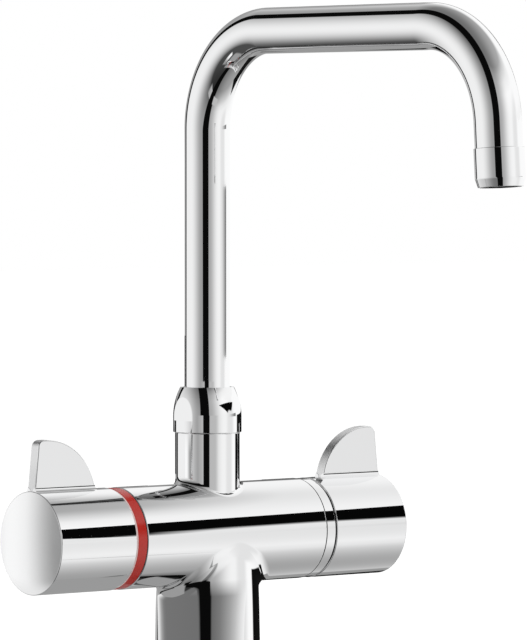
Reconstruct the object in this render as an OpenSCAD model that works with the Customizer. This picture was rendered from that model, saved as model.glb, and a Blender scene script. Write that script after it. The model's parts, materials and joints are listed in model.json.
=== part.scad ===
// Thermostatic mixer tap: a bar body on a pillar, a finned handle on each end and a
// swivel spout on top. Millimetres, +Z up, origin at the centre of the deck face.
// +X runs along the bar to the flow handle, and -Y points over the sink to the user.

/* [Body] */
// Outer diameter of the horizontal bar
bar_d = 49; // [48:0.5:56]
// Distance from the pillar axis to each end of the bar casting
bar_half = 55; // [54:0.5:66]
// Height of the bar axis above the deck
bar_height = 85; // [82:1:130]
// Diameter of the pillar at the deck
pillar_d = 52; // [51.5:0.5:60]
// Rounding where the pillar meets the bar
pillar_junction_r = 7; // [3:0.5:8]
// Rounding where the neck meets the bar
neck_junction_r = 3.5; // [2:0.5:5]
// Diameter of the neck under the spout nut
neck_d = 31.2; // [30.4:0.2:34]
// Height of the neck's shoulder above the bar axis
neck_height = 49; // [46:0.5:60]

/* [Spout] */
// Outer diameter of the spout tube
tube_d = 22; // [20:0.5:22.4]
// Wall thickness of the spout tube
tube_wall = 1; // [0.8:0.1:1.6]
// Radius of both spout bends, to the tube's axis
bend_r = 47; // [36:0.5:60]
// Length of the spout's level run
spout_run = 116.6; // [60:0.2:160]
// Height of the spout's level run above the bar axis, to the tube's axis
spout_rise = 241.5; // [190:0.5:300]
// Lean of the outlet leg away from the pillar, in degrees from upright
outlet_lean = 4; // [0:0.5:15]
// Length of bare tube between the outlet bend and the nozzle
outlet_leg = 11.8; // [9:0.2:60]
// Outer diameter of the outlet nozzle
nozzle_d = 23.2; // [22.8:0.2:28]
// Visible length of the outlet nozzle
nozzle_len = 17.8; // [16:0.2:19]
// Number of vanes in the flow straightener
vane_count = 8; // [4:1:12]

/* [Spout nut] */
// Outer diameter of the nut's straight band
nut_d = 33; // [32.6:0.2:37]
// Diameter of the nut's top edge
nut_top_d = 26; // [25.6:0.2:29]
// Height of the nut
nut_height = 21.8; // [20:0.2:26]
// Height of the straight band below the nut's rounded cone
nut_band = 7.5; // [6:0.5:12]
// Distance across the nut's two spanner flats
nut_across = 30; // [29:0.5:32]
// Height of the flats' lower edge above the nut's foot
nut_flat_rise = 5.8; // [3:0.2:9]

/* [Handles] */
// Length of each handle
handle_len = 44.9; // [40:0.1:56]
// Width of the ring between the bar and each handle
ring_w = 6.3; // [6:0.1:8]
// Bevel of the ring on the handle's side
ring_bevel = 0.9; // [0.4:0.1:1.5]
// Wall thickness of the handles
handle_wall = 2.5; // [2:0.1:3.5]
// Height of the dome on each handle's end
dome_h = 0.6; // [0.3:0.1:2]
// Thickness of the lever fin
fin_t = 6; // [4:0.2:9]
// Height of the fin's top above the bar axis
fin_top = 48.5; // [42:0.5:58]
// Radius of the fin's long curve
fin_curve_r = 28.5; // [26:0.5:31]
// Distance from the handle's end to the fin's highest point
fin_peak = 8; // [6:0.1:10]
// Rounding of the fin's outer top corner
fin_corner_r = 3.5; // [1:0.5:4]
// Lean of the fin's outer edge in degrees
fin_lean = 6; // [0:0.5:8]
// Rounding at the fin's foot
fin_foot_r = 2.5; // [1:0.5:4]
// Diameter of both control spindles
spindle_d = 8; // [7:0.2:9]

/* [Thermostatic cartridge] */
// Outer diameter of the cartridge sleeve
cartridge_d = 31; // [30:0.2:33]
// Length of the sleeve from its nose to its flange
cartridge_len = 43; // [42:0.5:46]
// Turn of the temperature handle away from the user, in degrees
cold_turn = 45; // [30:5:60]
// Turn of the temperature handle towards the user, in degrees
hot_turn = 90; // [60:5:120]
// Travel of the regulating plunger for one full turn of the spindle
spindle_lead = 4; // [2:0.5:5]
// Number of coils in the return spring
spring_coils = 4; // [3:1:6]
// Wire diameter of the return spring
spring_wire = 1.2; // [0.8:0.1:1.5]

/* [Flow headwork] */
// Outer diameter of the headwork's sleeve
headwork_d = 24; // [22:0.2:25]
// Thickness of each ceramic disc
disc_t = 3; // [2.5:0.1:3.5]
// Turn of the flow handle from shut to fully open, in degrees
open_turn = 90; // [80:5:100]

/* [Deck fixing] */
// Diameter of the hole that the deck needs
deck_hole_d = 35; // [34.5:0.5:38]
// Clear gap left for the deck between the base and the rubber washer
deck_gap = 12; // [6:1:30]
// Diameter of the fixing stud
stud_d = 8; // [6:1:8]
// Length of the fixing stud
stud_len = 66; // [60:1:90]
// Diameter of the threaded inlet ports
port_d = 10; // [9:0.5:10]
// Distance between the two inlet ports
port_spacing = 16; // [15:0.5:16.5]
// Depth of the inlet ports' threads
port_depth = 14; // [10:0.5:16]
// Diameter of the base gasket
gasket_d = 50.4; // [46:0.2:50.6]
// Thickness of the base gasket
gasket_t = 2; // [1.5:0.1:3]

/* [Hidden] */
$fn = 96;

// Clearances
turn_gap = 0.3;     // between pieces that turn past each other
shaft_gap = 0.05;   // radial, between a shaft and its bearing
fit_gap = 0.1;      // radial, between pieces that are pushed together
bite = 1;           // how far a cut runs past the face that it opens
edge = 0.3;         // small chamfer on turned edges

chrome = "#d9dbde";
brass = "#c9a65a";
steel = "#a9adb2";
rubber = "#232323";
red = "#b3241f";
white = "#e9e7e0";
grey = "#8c9094";
ceramic = "#f2efe6";

bar_r = bar_d / 2;
tube_r = tube_d / 2;
tube_bore_r = tube_r - tube_wall;
spindle_r = spindle_d / 2;

// Pillar, tapering from the deck up to the bar's own radius
body_foot = gasket_t / 4;
pillar_foot_r = pillar_d / 2;
junction_arc = 84;  // the pillar's rounding fades out where the two surfaces run level
function pillar_r(depth) = bar_r + (pillar_foot_r - bar_r) * depth / bar_height;
gasket_r = gasket_d / 2;

// Inlet ports and their channels
port_r = port_d / 2;
port_x = port_spacing / 2;
port_y = 7;
port_top = gasket_t + port_depth;
valve_ledge = 0.6;
valve_r = port_r - valve_ledge;
valve_len = 11;
filter_t = 1.2;
valve_z = port_top + filter_t;
pocket_top = valve_z + valve_len + bite;
channel_r = 3.5;

// Fixing stud
stud_r = stud_d / 2;
stud_wall = 1;      // between the stud and the edge of the deck hole
stud_y = -(deck_hole_d / 2 - stud_r - stud_wall);
stud_grip = 13;
stud_top = gasket_t + stud_grip;
clamp_r = 25;
hose_room = 0.5;
clamp_slot_r = port_x + port_r + hose_room;
rubber_washer_t = 3;
clamp_washer_t = 2;
fixing_nut_t = 8;
fixing_nut_r = 7.5;
rubber_washer_z = -deck_gap - rubber_washer_t;
clamp_washer_z = rubber_washer_z - clamp_washer_t;
fixing_nut_z = clamp_washer_z - fixing_nut_t;

// Left cavity and thermostatic cartridge: d counts outwards from the pillar axis
nose_d = 2;
sleeve_r = cartridge_d / 2;
sleeve_wall = 4.5;
sleeve_bore_r = sleeve_r - sleeve_wall;
cavity_gap = 0.5;
cavity_r = sleeve_r + cavity_gap;
flange_d = nose_d + cartridge_len;
flange_t = 4;
flange_step = 2;
flange_r = cavity_r + flange_step;
cap_seat_w = 2;
cap_r = sleeve_bore_r + cap_seat_w;
nut_recess_r = flange_r + cavity_gap;
cartridge_nut_d = flange_d + flange_t;
cap_lip = 1;
cartridge_nut_bore_r = cap_r - cap_lip;
collar_inset = 0.6;
collar_r = flange_r - collar_inset;
cold_port_d = 8;
hot_port_d = 20;
port_band = 6;
port_hole_r = 2.2;
port_holes = 6;
seal_wire_r = 1.1;
seal_ring_r = cavity_r - seal_wire_r - shaft_gap;
seal_groove_r = seal_ring_r - seal_wire_r - shaft_gap;
seal_margin = 3;     // from a seal's centre to the nearest port band
seal_places = [cold_port_d - seal_margin, hot_port_d - seal_margin,
               hot_port_d + port_band + seal_margin];
nose_wall = 2;
nose_hole_r = 6.5;

// Moving pieces inside the cartridge
lead_per_degree = spindle_lead / 360;
inward_travel = hot_turn * lead_per_degree;
outward_travel = cold_turn * lead_per_degree;
shuttle_r = sleeve_bore_r - fit_gap;
shuttle_d = 13.5;
shuttle_len = 5.5;
shuttle_hub_r = 7;
shuttle_web_holes = 6;
shuttle_web_hole_r = 1.2;
spring_mean_r = (shuttle_hub_r + sleeve_bore_r) / 2;
spring_from_d = nose_d + nose_wall;
spring_r = spring_wire / 2;
element_r = 6;
element_d = 9;
element_len = 17;
element_flange_t = 2;
pin_r = 1.5;
pin_len = 5;
plunger_d = element_d + element_len + pin_len;
plunger_len = 11;
plunger_gap = 0.6;
plunger_r = sleeve_bore_r - plunger_gap;
plunger_wall = 3;
key_w = 3;
key_h = 1.6;
key_gap = 0.3;
thrust_d = plunger_d + plunger_len + outward_travel + turn_gap;
thrust_t = flange_d - turn_gap - thrust_d;
thrust_r = 7.5;
spindle_start = plunger_d + plunger_wall + outward_travel + turn_gap;

// Rings, handles and turn stops, the same on both ends
spindle_seal_wire_r = 0.65;
ring_inset = 0.2;
ring_r = bar_r - ring_inset;
ring_bore_r = collar_r + fit_gap;
handle_start = bar_half + ring_w + turn_gap;
handle_end = handle_start + handle_len;
end_wall = 4;
handle_floor = handle_end - end_wall;
handle_bore_r = bar_r - handle_wall;
boss_wall = 4;
boss_r = spindle_r + boss_wall;
stop_sink = 1.3;
stop_face_d = bar_half + ring_w - stop_sink;
stop_base_t = 2.5;
lug_w = 3.8;
lug_h = 1.4;
lug_inset = 0.5;
stop_tab_t = 4;
stop_gap = 1.5;
stop_in_r = boss_r + stop_gap;
stop_w = 5.5;
stop_out_r = stop_in_r + stop_w;
rib_w = 3;
rib_slack = 1;
rib_in_r = stop_in_r + cavity_gap;
rib_half_angle = asin(rib_w / 2 / rib_in_r) + rib_slack;
rib_d = stop_face_d + stop_base_t + turn_gap;
rib_len = stop_tab_t + bite;
boss_d = stop_face_d + stop_base_t + stop_tab_t;
boss_depth = 6;
spindle_end = handle_floor - boss_depth;
grub_inset = 5;
grub_d = spindle_end - grub_inset;
grub_r = 2;
grub_len = 4.5;
grub_hole_r = 2.6;
flat_depth = 1;
spindle_flat = spindle_r - flat_depth;
flat_len = 14;

// Right cavity and ceramic headwork
headwork_r = headwork_d / 2;
headwork_cavity_r = headwork_r + fit_gap;
headwork_cavity_d = 22;
headwork_seal_t = 3;
seal_stand = 0.6;
headwork_start = headwork_cavity_d + seal_stand;
thread_len = 11;
thread_d = bar_half - thread_len;
thread_step = 1.9;
headwork_thread_r = headwork_r + thread_step;
headwork_wall = 3;
headwork_bore_r = headwork_r - headwork_wall;
disc_r = headwork_bore_r - fit_gap;
disc_lug_w = 3;
disc_lug_h = 1.2;
tongue_w = 2.4;
tongue_h = 1;
fixed_disc_d = headwork_cavity_d + headwork_seal_t;
moving_disc_d = fixed_disc_d + disc_t + shaft_gap;
driver_d = moving_disc_d + disc_t;
driver_t = 3;
window_margin = 3;
window_d = driver_d + driver_t + window_margin;
window_r = 2.4;
window_count = 4;
front_margin = 2;
headwork_front_d = window_d + window_r + front_margin;
seal_inset = 5;
flow_seal_d = headwork_front_d + seal_inset;
spanner_flat_h = 2.5;
spanner_across = 2 * (collar_r - spanner_flat_h);
chamber_h = 2;
chamber_r = headwork_cavity_r + chamber_h;
chamber_half = 4;
disc_window_in = 2.5;
disc_rim = 1.6;
disc_window_angle = 70;
mix_bore_r = 5;

// Neck, spout tail and nut: heights are above the bar axis
neck_r = neck_d / 2;
neck_wall = 3.15;
neck_bore_r = neck_r - neck_wall;
spigot_step = 1.7;
spigot_r = neck_r - spigot_step;
spigot_len = 10;
spigot_top = neck_height + spigot_len;
bearing_len = 25;
neck_bore_floor = spigot_top - bearing_len;
waterway_r = 7;
waterway_wall = 3.5;
waterway_floor = cavity_r + waterway_wall;
tail_r = neck_bore_r - shaft_gap;
tail_wall = 2;
tail_bore_r = tube_bore_r - tail_wall;
tail_flange_z = spigot_top + turn_gap;
tail_flange_t = 3;
tail_flange_inset = 0.4;
tail_flange_r = spigot_r - tail_flange_inset;
tail_foot = neck_bore_floor + cavity_gap;
tail_plug_len = 9;
tail_seal_wire_r = 1;
tail_seal_ring_r = neck_bore_r - tail_seal_wire_r - shaft_gap;
tail_groove_r = tail_seal_ring_r - tail_seal_wire_r - shaft_gap;
tail_seal_inset = 5;
tail_seal_pitch = 9;
tail_seal_places = [tail_foot + tail_seal_inset,
                    tail_foot + tail_seal_inset + tail_seal_pitch];
bush_z = tail_flange_z + tail_flange_t + turn_gap;
bush_t = 2.4;
nut_bore_r = spigot_r + fit_gap;
nut_hole_r = tube_r + turn_gap;
nut_shoulder_z = bush_z + bush_t;

// Spout tube
riser_foot = tail_flange_z + tail_flange_t;
bend_start = spout_rise - bend_r;
outlet_turn = 90 - outlet_lean;
leg_step = 0.05;    // the leg starts inside the bend's end, this much thinner

// Outlet nozzle
nozzle_r = nozzle_d / 2;
nozzle_taper = 4;
nozzle_taper_w = 1.2;
nozzle_lip_r = nozzle_r - nozzle_taper_w;
nozzle_plug_len = 8;
nozzle_plug_r = tube_bore_r - fit_gap;
mouth_depth = 5;
lip_wall = 0.8;
mouth_r = nozzle_lip_r - lip_wall;
pocket_step = 0.4;
pocket_r = mouth_r - pocket_step;
straightener_r = pocket_r - shaft_gap;
straightener_t = 6;
seal_t = 1.5;
nozzle_plug_wall = 2.2;
nozzle_bore_r = tube_bore_r - nozzle_plug_wall;
pocket_top_z = mouth_depth + straightener_t + seal_t;

// Points of an arc in a plane
function arc(centre, r, from, to, steps) = [
    for (i = [0:steps])
        let (a = from + (to - from) * i / steps)
            centre + r * [cos(a), sin(a)]
];

// Lifts children to the bar axis, with x running outwards on the chosen side
module on_side(side) {
    translate([0, 0, bar_height])
        if (side < 0) mirror([1, 0, 0]) children();
        else children();
}

// Turned pieces on the bar axis: z runs outwards from the pillar axis, x points down
module along_bar(side, d) {
    on_side(side) translate([d, 0, 0]) rotate([0, 90, 0]) children();
}

module above_bar(z) {
    translate([0, 0, bar_height + z]) children();
}

module tube(outer_r, inner_r, h) {
    difference() {
        cylinder(r = outer_r, h = h);
        translate([0, 0, -bite]) cylinder(r = inner_r, h = h + 2 * bite);
    }
}

module chamfered_rod(r, h, c) {
    rotate_extrude() polygon([[0, 0], [r - c, 0], [r, c], [r, h - c], [r - c, h], [0, h]]);
}

module torus(ring_r, wire_r) {
    rotate_extrude() translate([ring_r, 0]) circle(r = wire_r, $fn = 24);
}

module groove(floor_r, outer_r, w) {
    translate([0, 0, -w / 2]) tube(outer_r, floor_r, w);
}

// Straight bore from one point to another
module drilled(from, to, r) {
    v = to - from;
    length = norm(v);
    translate(from)
        rotate([0, acos(v[2] / length), atan2(v[1], v[0])])
            cylinder(r = r, h = length);
}

// Rounding between the bar and an upright round leg: the neck above it or the pillar
// below it. A ball rolls around the leg, touching both surfaces; each slice is the wedge
// between its two touching points and an anchor inside the metal. way is 1 above the
// bar and -1 below it.
function leg_r(way, h) = way > 0 ? neck_r : pillar_r(h);
function ball_r(way) = way > 0 ? neck_junction_r : pillar_junction_r;

// Height at which the ball touches both: the root of a quadratic, as the leg tapers
function ball_height(way, a) =
    let (
        s = sin(a),
        slope = leg_r(way, 1) - leg_r(way, 0),
        to_leg = leg_r(way, 0) + ball_r(way),
        to_bar = bar_r + ball_r(way),
        drift = to_leg * slope * s ^ 2,
        scale = 1 + (slope * s) ^ 2
    )
    (sqrt(drift ^ 2 + scale * (to_bar ^ 2 - (to_leg * s) ^ 2)) - drift) / scale;

function junction_slice(way, a, steps) =
    let (
        sunk = 0.03,
        past_corner = 1.2,
        r = ball_r(way),
        h = ball_height(way, a),
        leg = leg_r(way, h),
        ball = [(leg + r) * cos(a), (leg + r) * sin(a), h],
        on_leg = [leg * cos(a), leg * sin(a), h],
        on_bar = [ball[0], ball[1] * bar_r / (bar_r + r), h * bar_r / (bar_r + r)],
        middle = (on_leg + on_bar) / 2,
        u = (on_leg - ball) / r,
        v = (on_bar - ball) / r,
        opening = acos(u * v),
        anchor = middle + (middle - ball) * past_corner
    )
    [
        for (i = [0:steps])
            let (t = i / steps,
                 w = (sin((1 - t) * opening) * u + sin(t * opening) * v) / sin(opening),
                 p = ball + (r + sunk) * w)
                [p[0], p[1], way * p[2]],
        [anchor[0], anchor[1], way * anchor[2]]
    ];

module junction(way, from, to, slices) {
    steps = 5;
    sides = steps + 2;
    closed = to - from >= 360;
    rings = closed ? slices : slices + 1;
    points = [
        for (k = [0:rings - 1])
            each junction_slice(way, from + (to - from) * k / slices, steps)
    ];
    walls = [
        for (k = [0:slices - 1], i = [0:sides - 1])
            let (a = k * sides + i, b = k * sides + (i + 1) % sides,
                 c = ((k + 1) % rings) * sides + (i + 1) % sides,
                 d = ((k + 1) % rings) * sides + i)
                way > 0 ? [d, c, b, a] : [a, b, c, d]
    ];
    // Each cap's list starts at the anchor, which sees the whole hollow outline
    from_anchor = [for (i = [0:sides - 1]) (i + sides - 1) % sides];
    to_anchor = [for (i = [0:sides - 1]) sides - 1 - i];
    caps = closed ? [] : [
        way > 0 ? from_anchor : to_anchor,
        [for (i = way > 0 ? to_anchor : from_anchor) slices * sides + i]
    ];
    polyhedron(points, concat(walls, caps), convexity = 4);
}

// Body casting

module body_outside() {
    along_bar(1, -bar_half) chamfered_rod(bar_r, 2 * bar_half, edge);
    translate([0, 0, body_foot])
        cylinder(r1 = pillar_r(bar_height - body_foot), r2 = pillar_r(0) - shaft_gap,
                 h = bar_height - body_foot);
    above_bar(0) cylinder(r = neck_r, h = neck_height);
    above_bar(neck_height - bite) cylinder(r = spigot_r, h = spigot_top - neck_height + bite);
    above_bar(0) junction(1, 0, 360, 48);
    for (turn = [0, 180])
        above_bar(0) rotate([0, 0, turn]) junction(-1, -junction_arc, junction_arc, 28);
}

module inlet_channels() {
    for (side = [-1, 1]) {
        translate([side * port_x, port_y, gasket_t - bite])
            cylinder(r = port_r, h = port_depth + bite);
        translate([side * port_x, port_y, port_top - bite])
            cylinder(r = valve_r + fit_gap, h = pocket_top - port_top + bite);
    }
    inside_cavity = bar_height - cavity_r + channel_r / 2;
    drilled([-port_x, port_y, pocket_top - bite],
            [-hot_port_d - port_band / 2, port_y, inside_cavity], channel_r);
    drilled([port_x, port_y, pocket_top - bite],
            [-cold_port_d - port_band / 2, port_y, inside_cavity], channel_r);
}

module left_cavity() {
    along_bar(-1, nose_d) cylinder(r = cavity_r, h = bar_half);
    along_bar(-1, flange_d) cylinder(r = nut_recess_r, h = bar_half);
}

module right_cavity() {
    along_bar(1, headwork_cavity_d) cylinder(r = headwork_cavity_r, h = bar_half);
    along_bar(1, thread_d) cylinder(r = headwork_thread_r + fit_gap, h = bar_half);
    along_bar(1, window_d - chamber_half) cylinder(r = chamber_r, h = 2 * chamber_half);
    along_bar(1, -nose_d - bite)
        cylinder(r = mix_bore_r, h = headwork_cavity_d + nose_d + 2 * bite);
    above_bar(0)
        drilled([window_d, 0, headwork_r], [waterway_r / 2, 0, waterway_floor + channel_r],
                channel_r);
}

module neck_bores() {
    above_bar(neck_bore_floor) cylinder(r = neck_bore_r, h = neck_height);
    above_bar(waterway_floor) cylinder(r = waterway_r, h = neck_height);
}

module mixer_body() {
    color(chrome) difference() {
        body_outside();
        translate([0, 0, -bite]) cylinder(r = gasket_r + fit_gap, h = gasket_t + bite);
        translate([0, stud_y, -bite]) cylinder(r = stud_r + shaft_gap, h = stud_top + 2 * bite);
        inlet_channels();
        left_cavity();
        right_cavity();
        neck_bores();
    }
}

// Deck fixing

module base_gasket() {
    color(rubber) tube(gasket_r, deck_hole_d / 2, gasket_t);
}

module fixing_stud() {
    color(steel) translate([0, stud_y, stud_top - stud_len])
        chamfered_rod(stud_r, stud_len, edge);
}

module horseshoe(t) {
    difference() {
        cylinder(r = clamp_r, h = t);
        translate([0, port_y, -bite]) cylinder(r = clamp_slot_r, h = t + 2 * bite);
        translate([-clamp_slot_r, port_y, -bite])
            cube([2 * clamp_slot_r, clamp_r, t + 2 * bite]);
        translate([0, stud_y, -bite]) cylinder(r = stud_r + turn_gap, h = t + 2 * bite);
    }
}

module rubber_washer() {
    color(rubber) translate([0, 0, rubber_washer_z]) horseshoe(rubber_washer_t);
}

module clamp_washer() {
    color(steel) translate([0, 0, clamp_washer_z]) horseshoe(clamp_washer_t);
}

module fixing_nut() {
    color(brass) translate([0, stud_y, fixing_nut_z]) difference() {
        cylinder(r = fixing_nut_r, h = fixing_nut_t, $fn = 6);
        translate([0, 0, -bite])
            cylinder(r = stud_r + shaft_gap, h = fixing_nut_t + 2 * bite);
    }
}

// Inlets

module inlet_filters() {
    mesh_pitch = 2.2;
    mesh_hole_r = 0.7;
    color(steel) for (side = [-1, 1])
        translate([side * port_x, port_y, port_top]) difference() {
            cylinder(r = valve_r, h = filter_t);
            for (a = [0:60:300]) rotate([0, 0, a]) translate([mesh_pitch, 0, -bite])
                cylinder(r = mesh_hole_r, h = filter_t + 2 * bite, $fn = 24);
            translate([0, 0, -bite])
                cylinder(r = mesh_hole_r, h = filter_t + 2 * bite, $fn = 24);
        }
}

module check_valves() {
    seat_r = valve_r - 1.6;
    poppet_r = seat_r - 0.6;
    color(white) for (side = [-1, 1])
        translate([side * port_x, port_y, valve_z]) difference() {
            chamfered_rod(valve_r, valve_len, edge);
            translate([0, 0, valve_len / 2]) groove(seat_r + 0.8, valve_r + bite, 1.6);
            translate([0, 0, valve_len - 3]) tube(seat_r, poppet_r, 3 + bite);
        }
}

// Thermostatic cartridge

module cartridge_sleeve() {
    color(white) difference() {
        union() {
            along_bar(-1, nose_d) cylinder(r = sleeve_r, h = cartridge_len);
            along_bar(-1, flange_d) cylinder(r = flange_r, h = flange_t);
        }
        along_bar(-1, nose_d + nose_wall) cylinder(r = sleeve_bore_r, h = cartridge_len);
        along_bar(-1, nose_d - bite) cylinder(r = nose_hole_r, h = nose_wall + 2 * bite);
        along_bar(-1, flange_d) cylinder(r = cap_r + fit_gap, h = flange_t + bite);
        for (place = [cold_port_d, hot_port_d], k = [0:port_holes - 1])
            along_bar(-1, place + port_band / 2) rotate([0, 0, k * 360 / port_holes])
                rotate([0, 90, 0]) cylinder(r = port_hole_r, h = sleeve_r + bite, $fn = 32);
        for (place = seal_places)
            along_bar(-1, place) groove(seal_groove_r, sleeve_r + bite, 2 * seal_wire_r + fit_gap);
        along_bar(-1, plunger_d - inward_travel - 1)
            translate([-sleeve_bore_r - key_h, -key_w / 2 - key_gap, 0])
                cube([sleeve_bore_r, key_w + 2 * key_gap, flange_d - plunger_d + inward_travel + 2]);
    }
}

module cartridge_cap() {
    color(grey) along_bar(-1, flange_d) tube(cap_r, spindle_r + shaft_gap, flange_t);
}

module cartridge_seals() {
    color(rubber) for (place = seal_places)
        along_bar(-1, place) torus(seal_ring_r, seal_wire_r);
}

// The spring is one wire swept along a helix that lies between its two seats
module return_spring() {
    rings_per_coil = 16;
    wire_sides = 6;
    length = shuttle_d - spring_from_d;
    rise = length - spring_wire;
    total = spring_coils * rings_per_coil;
    points = [
        for (k = [0:total], i = [0:wire_sides - 1])
            let (a = 360 * k / rings_per_coil, b = 360 * i / wire_sides,
                 r = spring_mean_r + spring_r * cos(b))
                [r * cos(a), r * sin(a), spring_r + rise * k / total + spring_r * sin(b)]
    ];
    walls = [
        for (k = [0:total - 1], i = [0:wire_sides - 1])
            let (j = (i + 1) % wire_sides)
                each [[k * wire_sides + i, (k + 1) * wire_sides + i, k * wire_sides + j],
                      [(k + 1) * wire_sides + i, (k + 1) * wire_sides + j, k * wire_sides + j]]
    ];
    caps = [[for (i = [0:wire_sides - 1]) i],
            [for (i = [0:wire_sides - 1]) total * wire_sides + wire_sides - 1 - i]];
    echo(least_gap_between_coils = rise / spring_coils - spring_wire);
    color(steel) along_bar(-1, spring_from_d) polyhedron(points, concat(walls, caps), convexity = 8);
}

module regulating_shuttle() {
    web_r = (shuttle_hub_r + shuttle_r) / 2;
    color(grey) along_bar(-1, shuttle_d) difference() {
        cylinder(r = shuttle_r, h = shuttle_len);
        translate([0, 0, -bite]) cylinder(r = element_r, h = shuttle_len + 2 * bite);
        for (k = [0:shuttle_web_holes - 1]) rotate([0, 0, k * 360 / shuttle_web_holes])
            translate([web_r, 0, -bite])
                cylinder(r = shuttle_web_hole_r, h = shuttle_len + 2 * bite, $fn = 24);
    }
}

module wax_element() {
    color(brass) along_bar(-1, element_d) {
        cylinder(r = element_r, h = element_len);
        translate([0, 0, shuttle_d + shuttle_len - element_d])
            cylinder(r = shuttle_hub_r, h = element_flange_t);
        cylinder(r = pin_r, h = element_len + pin_len);
    }
}

module drive_plunger() {
    color(brass) along_bar(-1, plunger_d) difference() {
        union() {
            cylinder(r = plunger_r, h = plunger_len);
            translate([-sleeve_bore_r - key_h + key_gap, -key_w / 2, 0])
                cube([sleeve_bore_r, key_w, plunger_len]);
        }
        translate([0, 0, plunger_wall]) cylinder(r = spindle_r + shaft_gap, h = plunger_len);
    }
}

// Spindles: the outer end has a flat that the handle's boss fits over
module spindle_shaft(from) {
    difference() {
        chamfered_rod(spindle_r, spindle_end - from, edge);
        translate([spindle_flat, -spindle_d, spindle_end - from - flat_len])
            cube([spindle_d, 2 * spindle_d, flat_len + bite]);
    }
}

// Groove for the O-ring that seals a spindle in its bearing
module spindle_groove() {
    groove(spindle_r - 2 * spindle_seal_wire_r, spindle_r + bite, 2 * spindle_seal_wire_r + fit_gap);
}

module spindle_o_ring() {
    torus(spindle_r - spindle_seal_wire_r, spindle_seal_wire_r);
}

module temperature_spindle() {
    color(brass) difference() {
        union() {
            along_bar(-1, spindle_start) spindle_shaft(spindle_start);
            along_bar(-1, thrust_d) cylinder(r = thrust_r, h = thrust_t);
        }
        along_bar(-1, flange_d + flange_t / 2) spindle_groove();
    }
}

module temperature_o_ring() {
    color(rubber) along_bar(-1, flange_d + flange_t / 2) spindle_o_ring();
}

// Four slots in a collar's face take a pin spanner and then the stop ring's lugs
module lug_slots(w, depth, from_r, to_r) {
    for (a = [45:90:315]) rotate([0, 0, a])
        translate([from_r, -w / 2, 0]) cube([to_r - from_r, w, depth]);
}

module cartridge_nut() {
    color(brass) difference() {
        union() {
            along_bar(-1, cartridge_nut_d)
                cylinder(r = nut_recess_r - fit_gap, h = bar_half - cartridge_nut_d);
            along_bar(-1, cartridge_nut_d)
                cylinder(r = collar_r, h = stop_face_d - cartridge_nut_d);
        }
        along_bar(-1, cartridge_nut_d - bite) cylinder(r = cartridge_nut_bore_r, h = ring_w + bar_half);
        along_bar(-1, stop_face_d - lug_h - fit_gap)
            lug_slots(lug_w + 2 * fit_gap, bite + lug_h, cartridge_nut_bore_r - bite, bar_r);
    }
}

// Turn stops: the raised sector leaves free only the arc that the handle's rib sweeps
module stop_ring(side, back, forward) {
    free_from = -back - rib_half_angle;
    free_to = forward + rib_half_angle;
    along_bar(side, stop_face_d) {
        difference() {
            tube(stop_out_r, stop_in_r, stop_base_t + stop_tab_t);
            rotate([0, 0, free_from]) rotate_extrude(angle = free_to - free_from)
                translate([stop_in_r - bite, stop_base_t])
                    square([stop_w + 2 * bite, stop_tab_t + bite]);
        }
        translate([0, 0, -lug_h])
            lug_slots(lug_w, lug_h + stop_base_t / 2, cartridge_nut_bore_r + fit_gap,
                      stop_out_r - lug_inset);
    }
}

module temperature_stop_ring() {
    color(grey) stop_ring(-1, cold_turn, hot_turn);
}

module flow_stop_ring() {
    color(grey) stop_ring(1, 0, open_turn);
}

// Rings between the bar and the handles

module band_ring(side) {
    outline = [
        [ring_bore_r, 0], [ring_r - edge, 0], [ring_r, edge], [ring_r, ring_w - ring_bevel],
        [ring_r - ring_bevel, ring_w], [ring_bore_r, ring_w]
    ];
    along_bar(side, bar_half) rotate_extrude() polygon(outline);
}

module temperature_ring() {
    color(red) band_ring(-1);
}

module flow_ring() {
    color(chrome) band_ring(1);
}

// Handles

// Side outline of the fin: x runs inwards from the handle's end, y is height
function fin_side() =
    let (
        foot_in = dome_h + edge,
        peak = [fin_peak, fin_top - fin_curve_r],
        corner = [foot_in + fin_corner_r + (fin_top - fin_corner_r - bar_r) * tan(fin_lean),
                  fin_top - fin_corner_r]
    )
    concat(
        [[foot_in, 0], [foot_in, bar_r]],
        arc(corner, fin_corner_r, 180, 90, 6),
        arc(peak, fin_curve_r, 88, 0, 22),
        [[fin_peak + fin_curve_r, 0]]
    );

// Cross-section of the fin, with a rounding where each face meets the round handle
module fin_section() {
    ball_y = fin_t / 2 + fin_foot_r;
    ball_z = sqrt((bar_r + fin_foot_r) ^ 2 - ball_y ^ 2);
    lean = atan2(ball_y, ball_z);
    half = concat([[0, bar_r - 4], [ball_y, bar_r - 4]],
                  arc([ball_y, ball_z], fin_foot_r, 270 - lean, 180, 6),
                  [[fin_t / 2, fin_top + bite], [0, fin_top + bite]]);
    polygon(half);
    mirror([1, 0]) polygon(half);
}

module fin() {
    intersection() {
        translate([handle_end, bar_r, 0]) rotate([90, 0, 0])
            linear_extrude(height = bar_d) mirror([1, 0]) polygon(fin_side());
        translate([handle_end - fin_peak - fin_curve_r - bite, 0, 0])
            rotate([90, 0, 90])
                linear_extrude(height = fin_peak + fin_curve_r + 2 * bite) fin_section();
    }
}

module handle_outside() {
    dome_r = (bar_r ^ 2 + dome_h ^ 2) / (2 * dome_h);
    rim = asin(bar_r / dome_r);
    profile = concat(
        [[0, 0], [bar_r - edge, 0], [bar_r, edge], [bar_r, handle_len - dome_h - edge]],
        arc([0, handle_len - dome_r], dome_r, 90 - rim * 0.97, 90, 6)
    );
    translate([handle_start, 0, 0]) rotate([0, 90, 0]) rotate_extrude() polygon(profile);
    fin();
}

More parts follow.
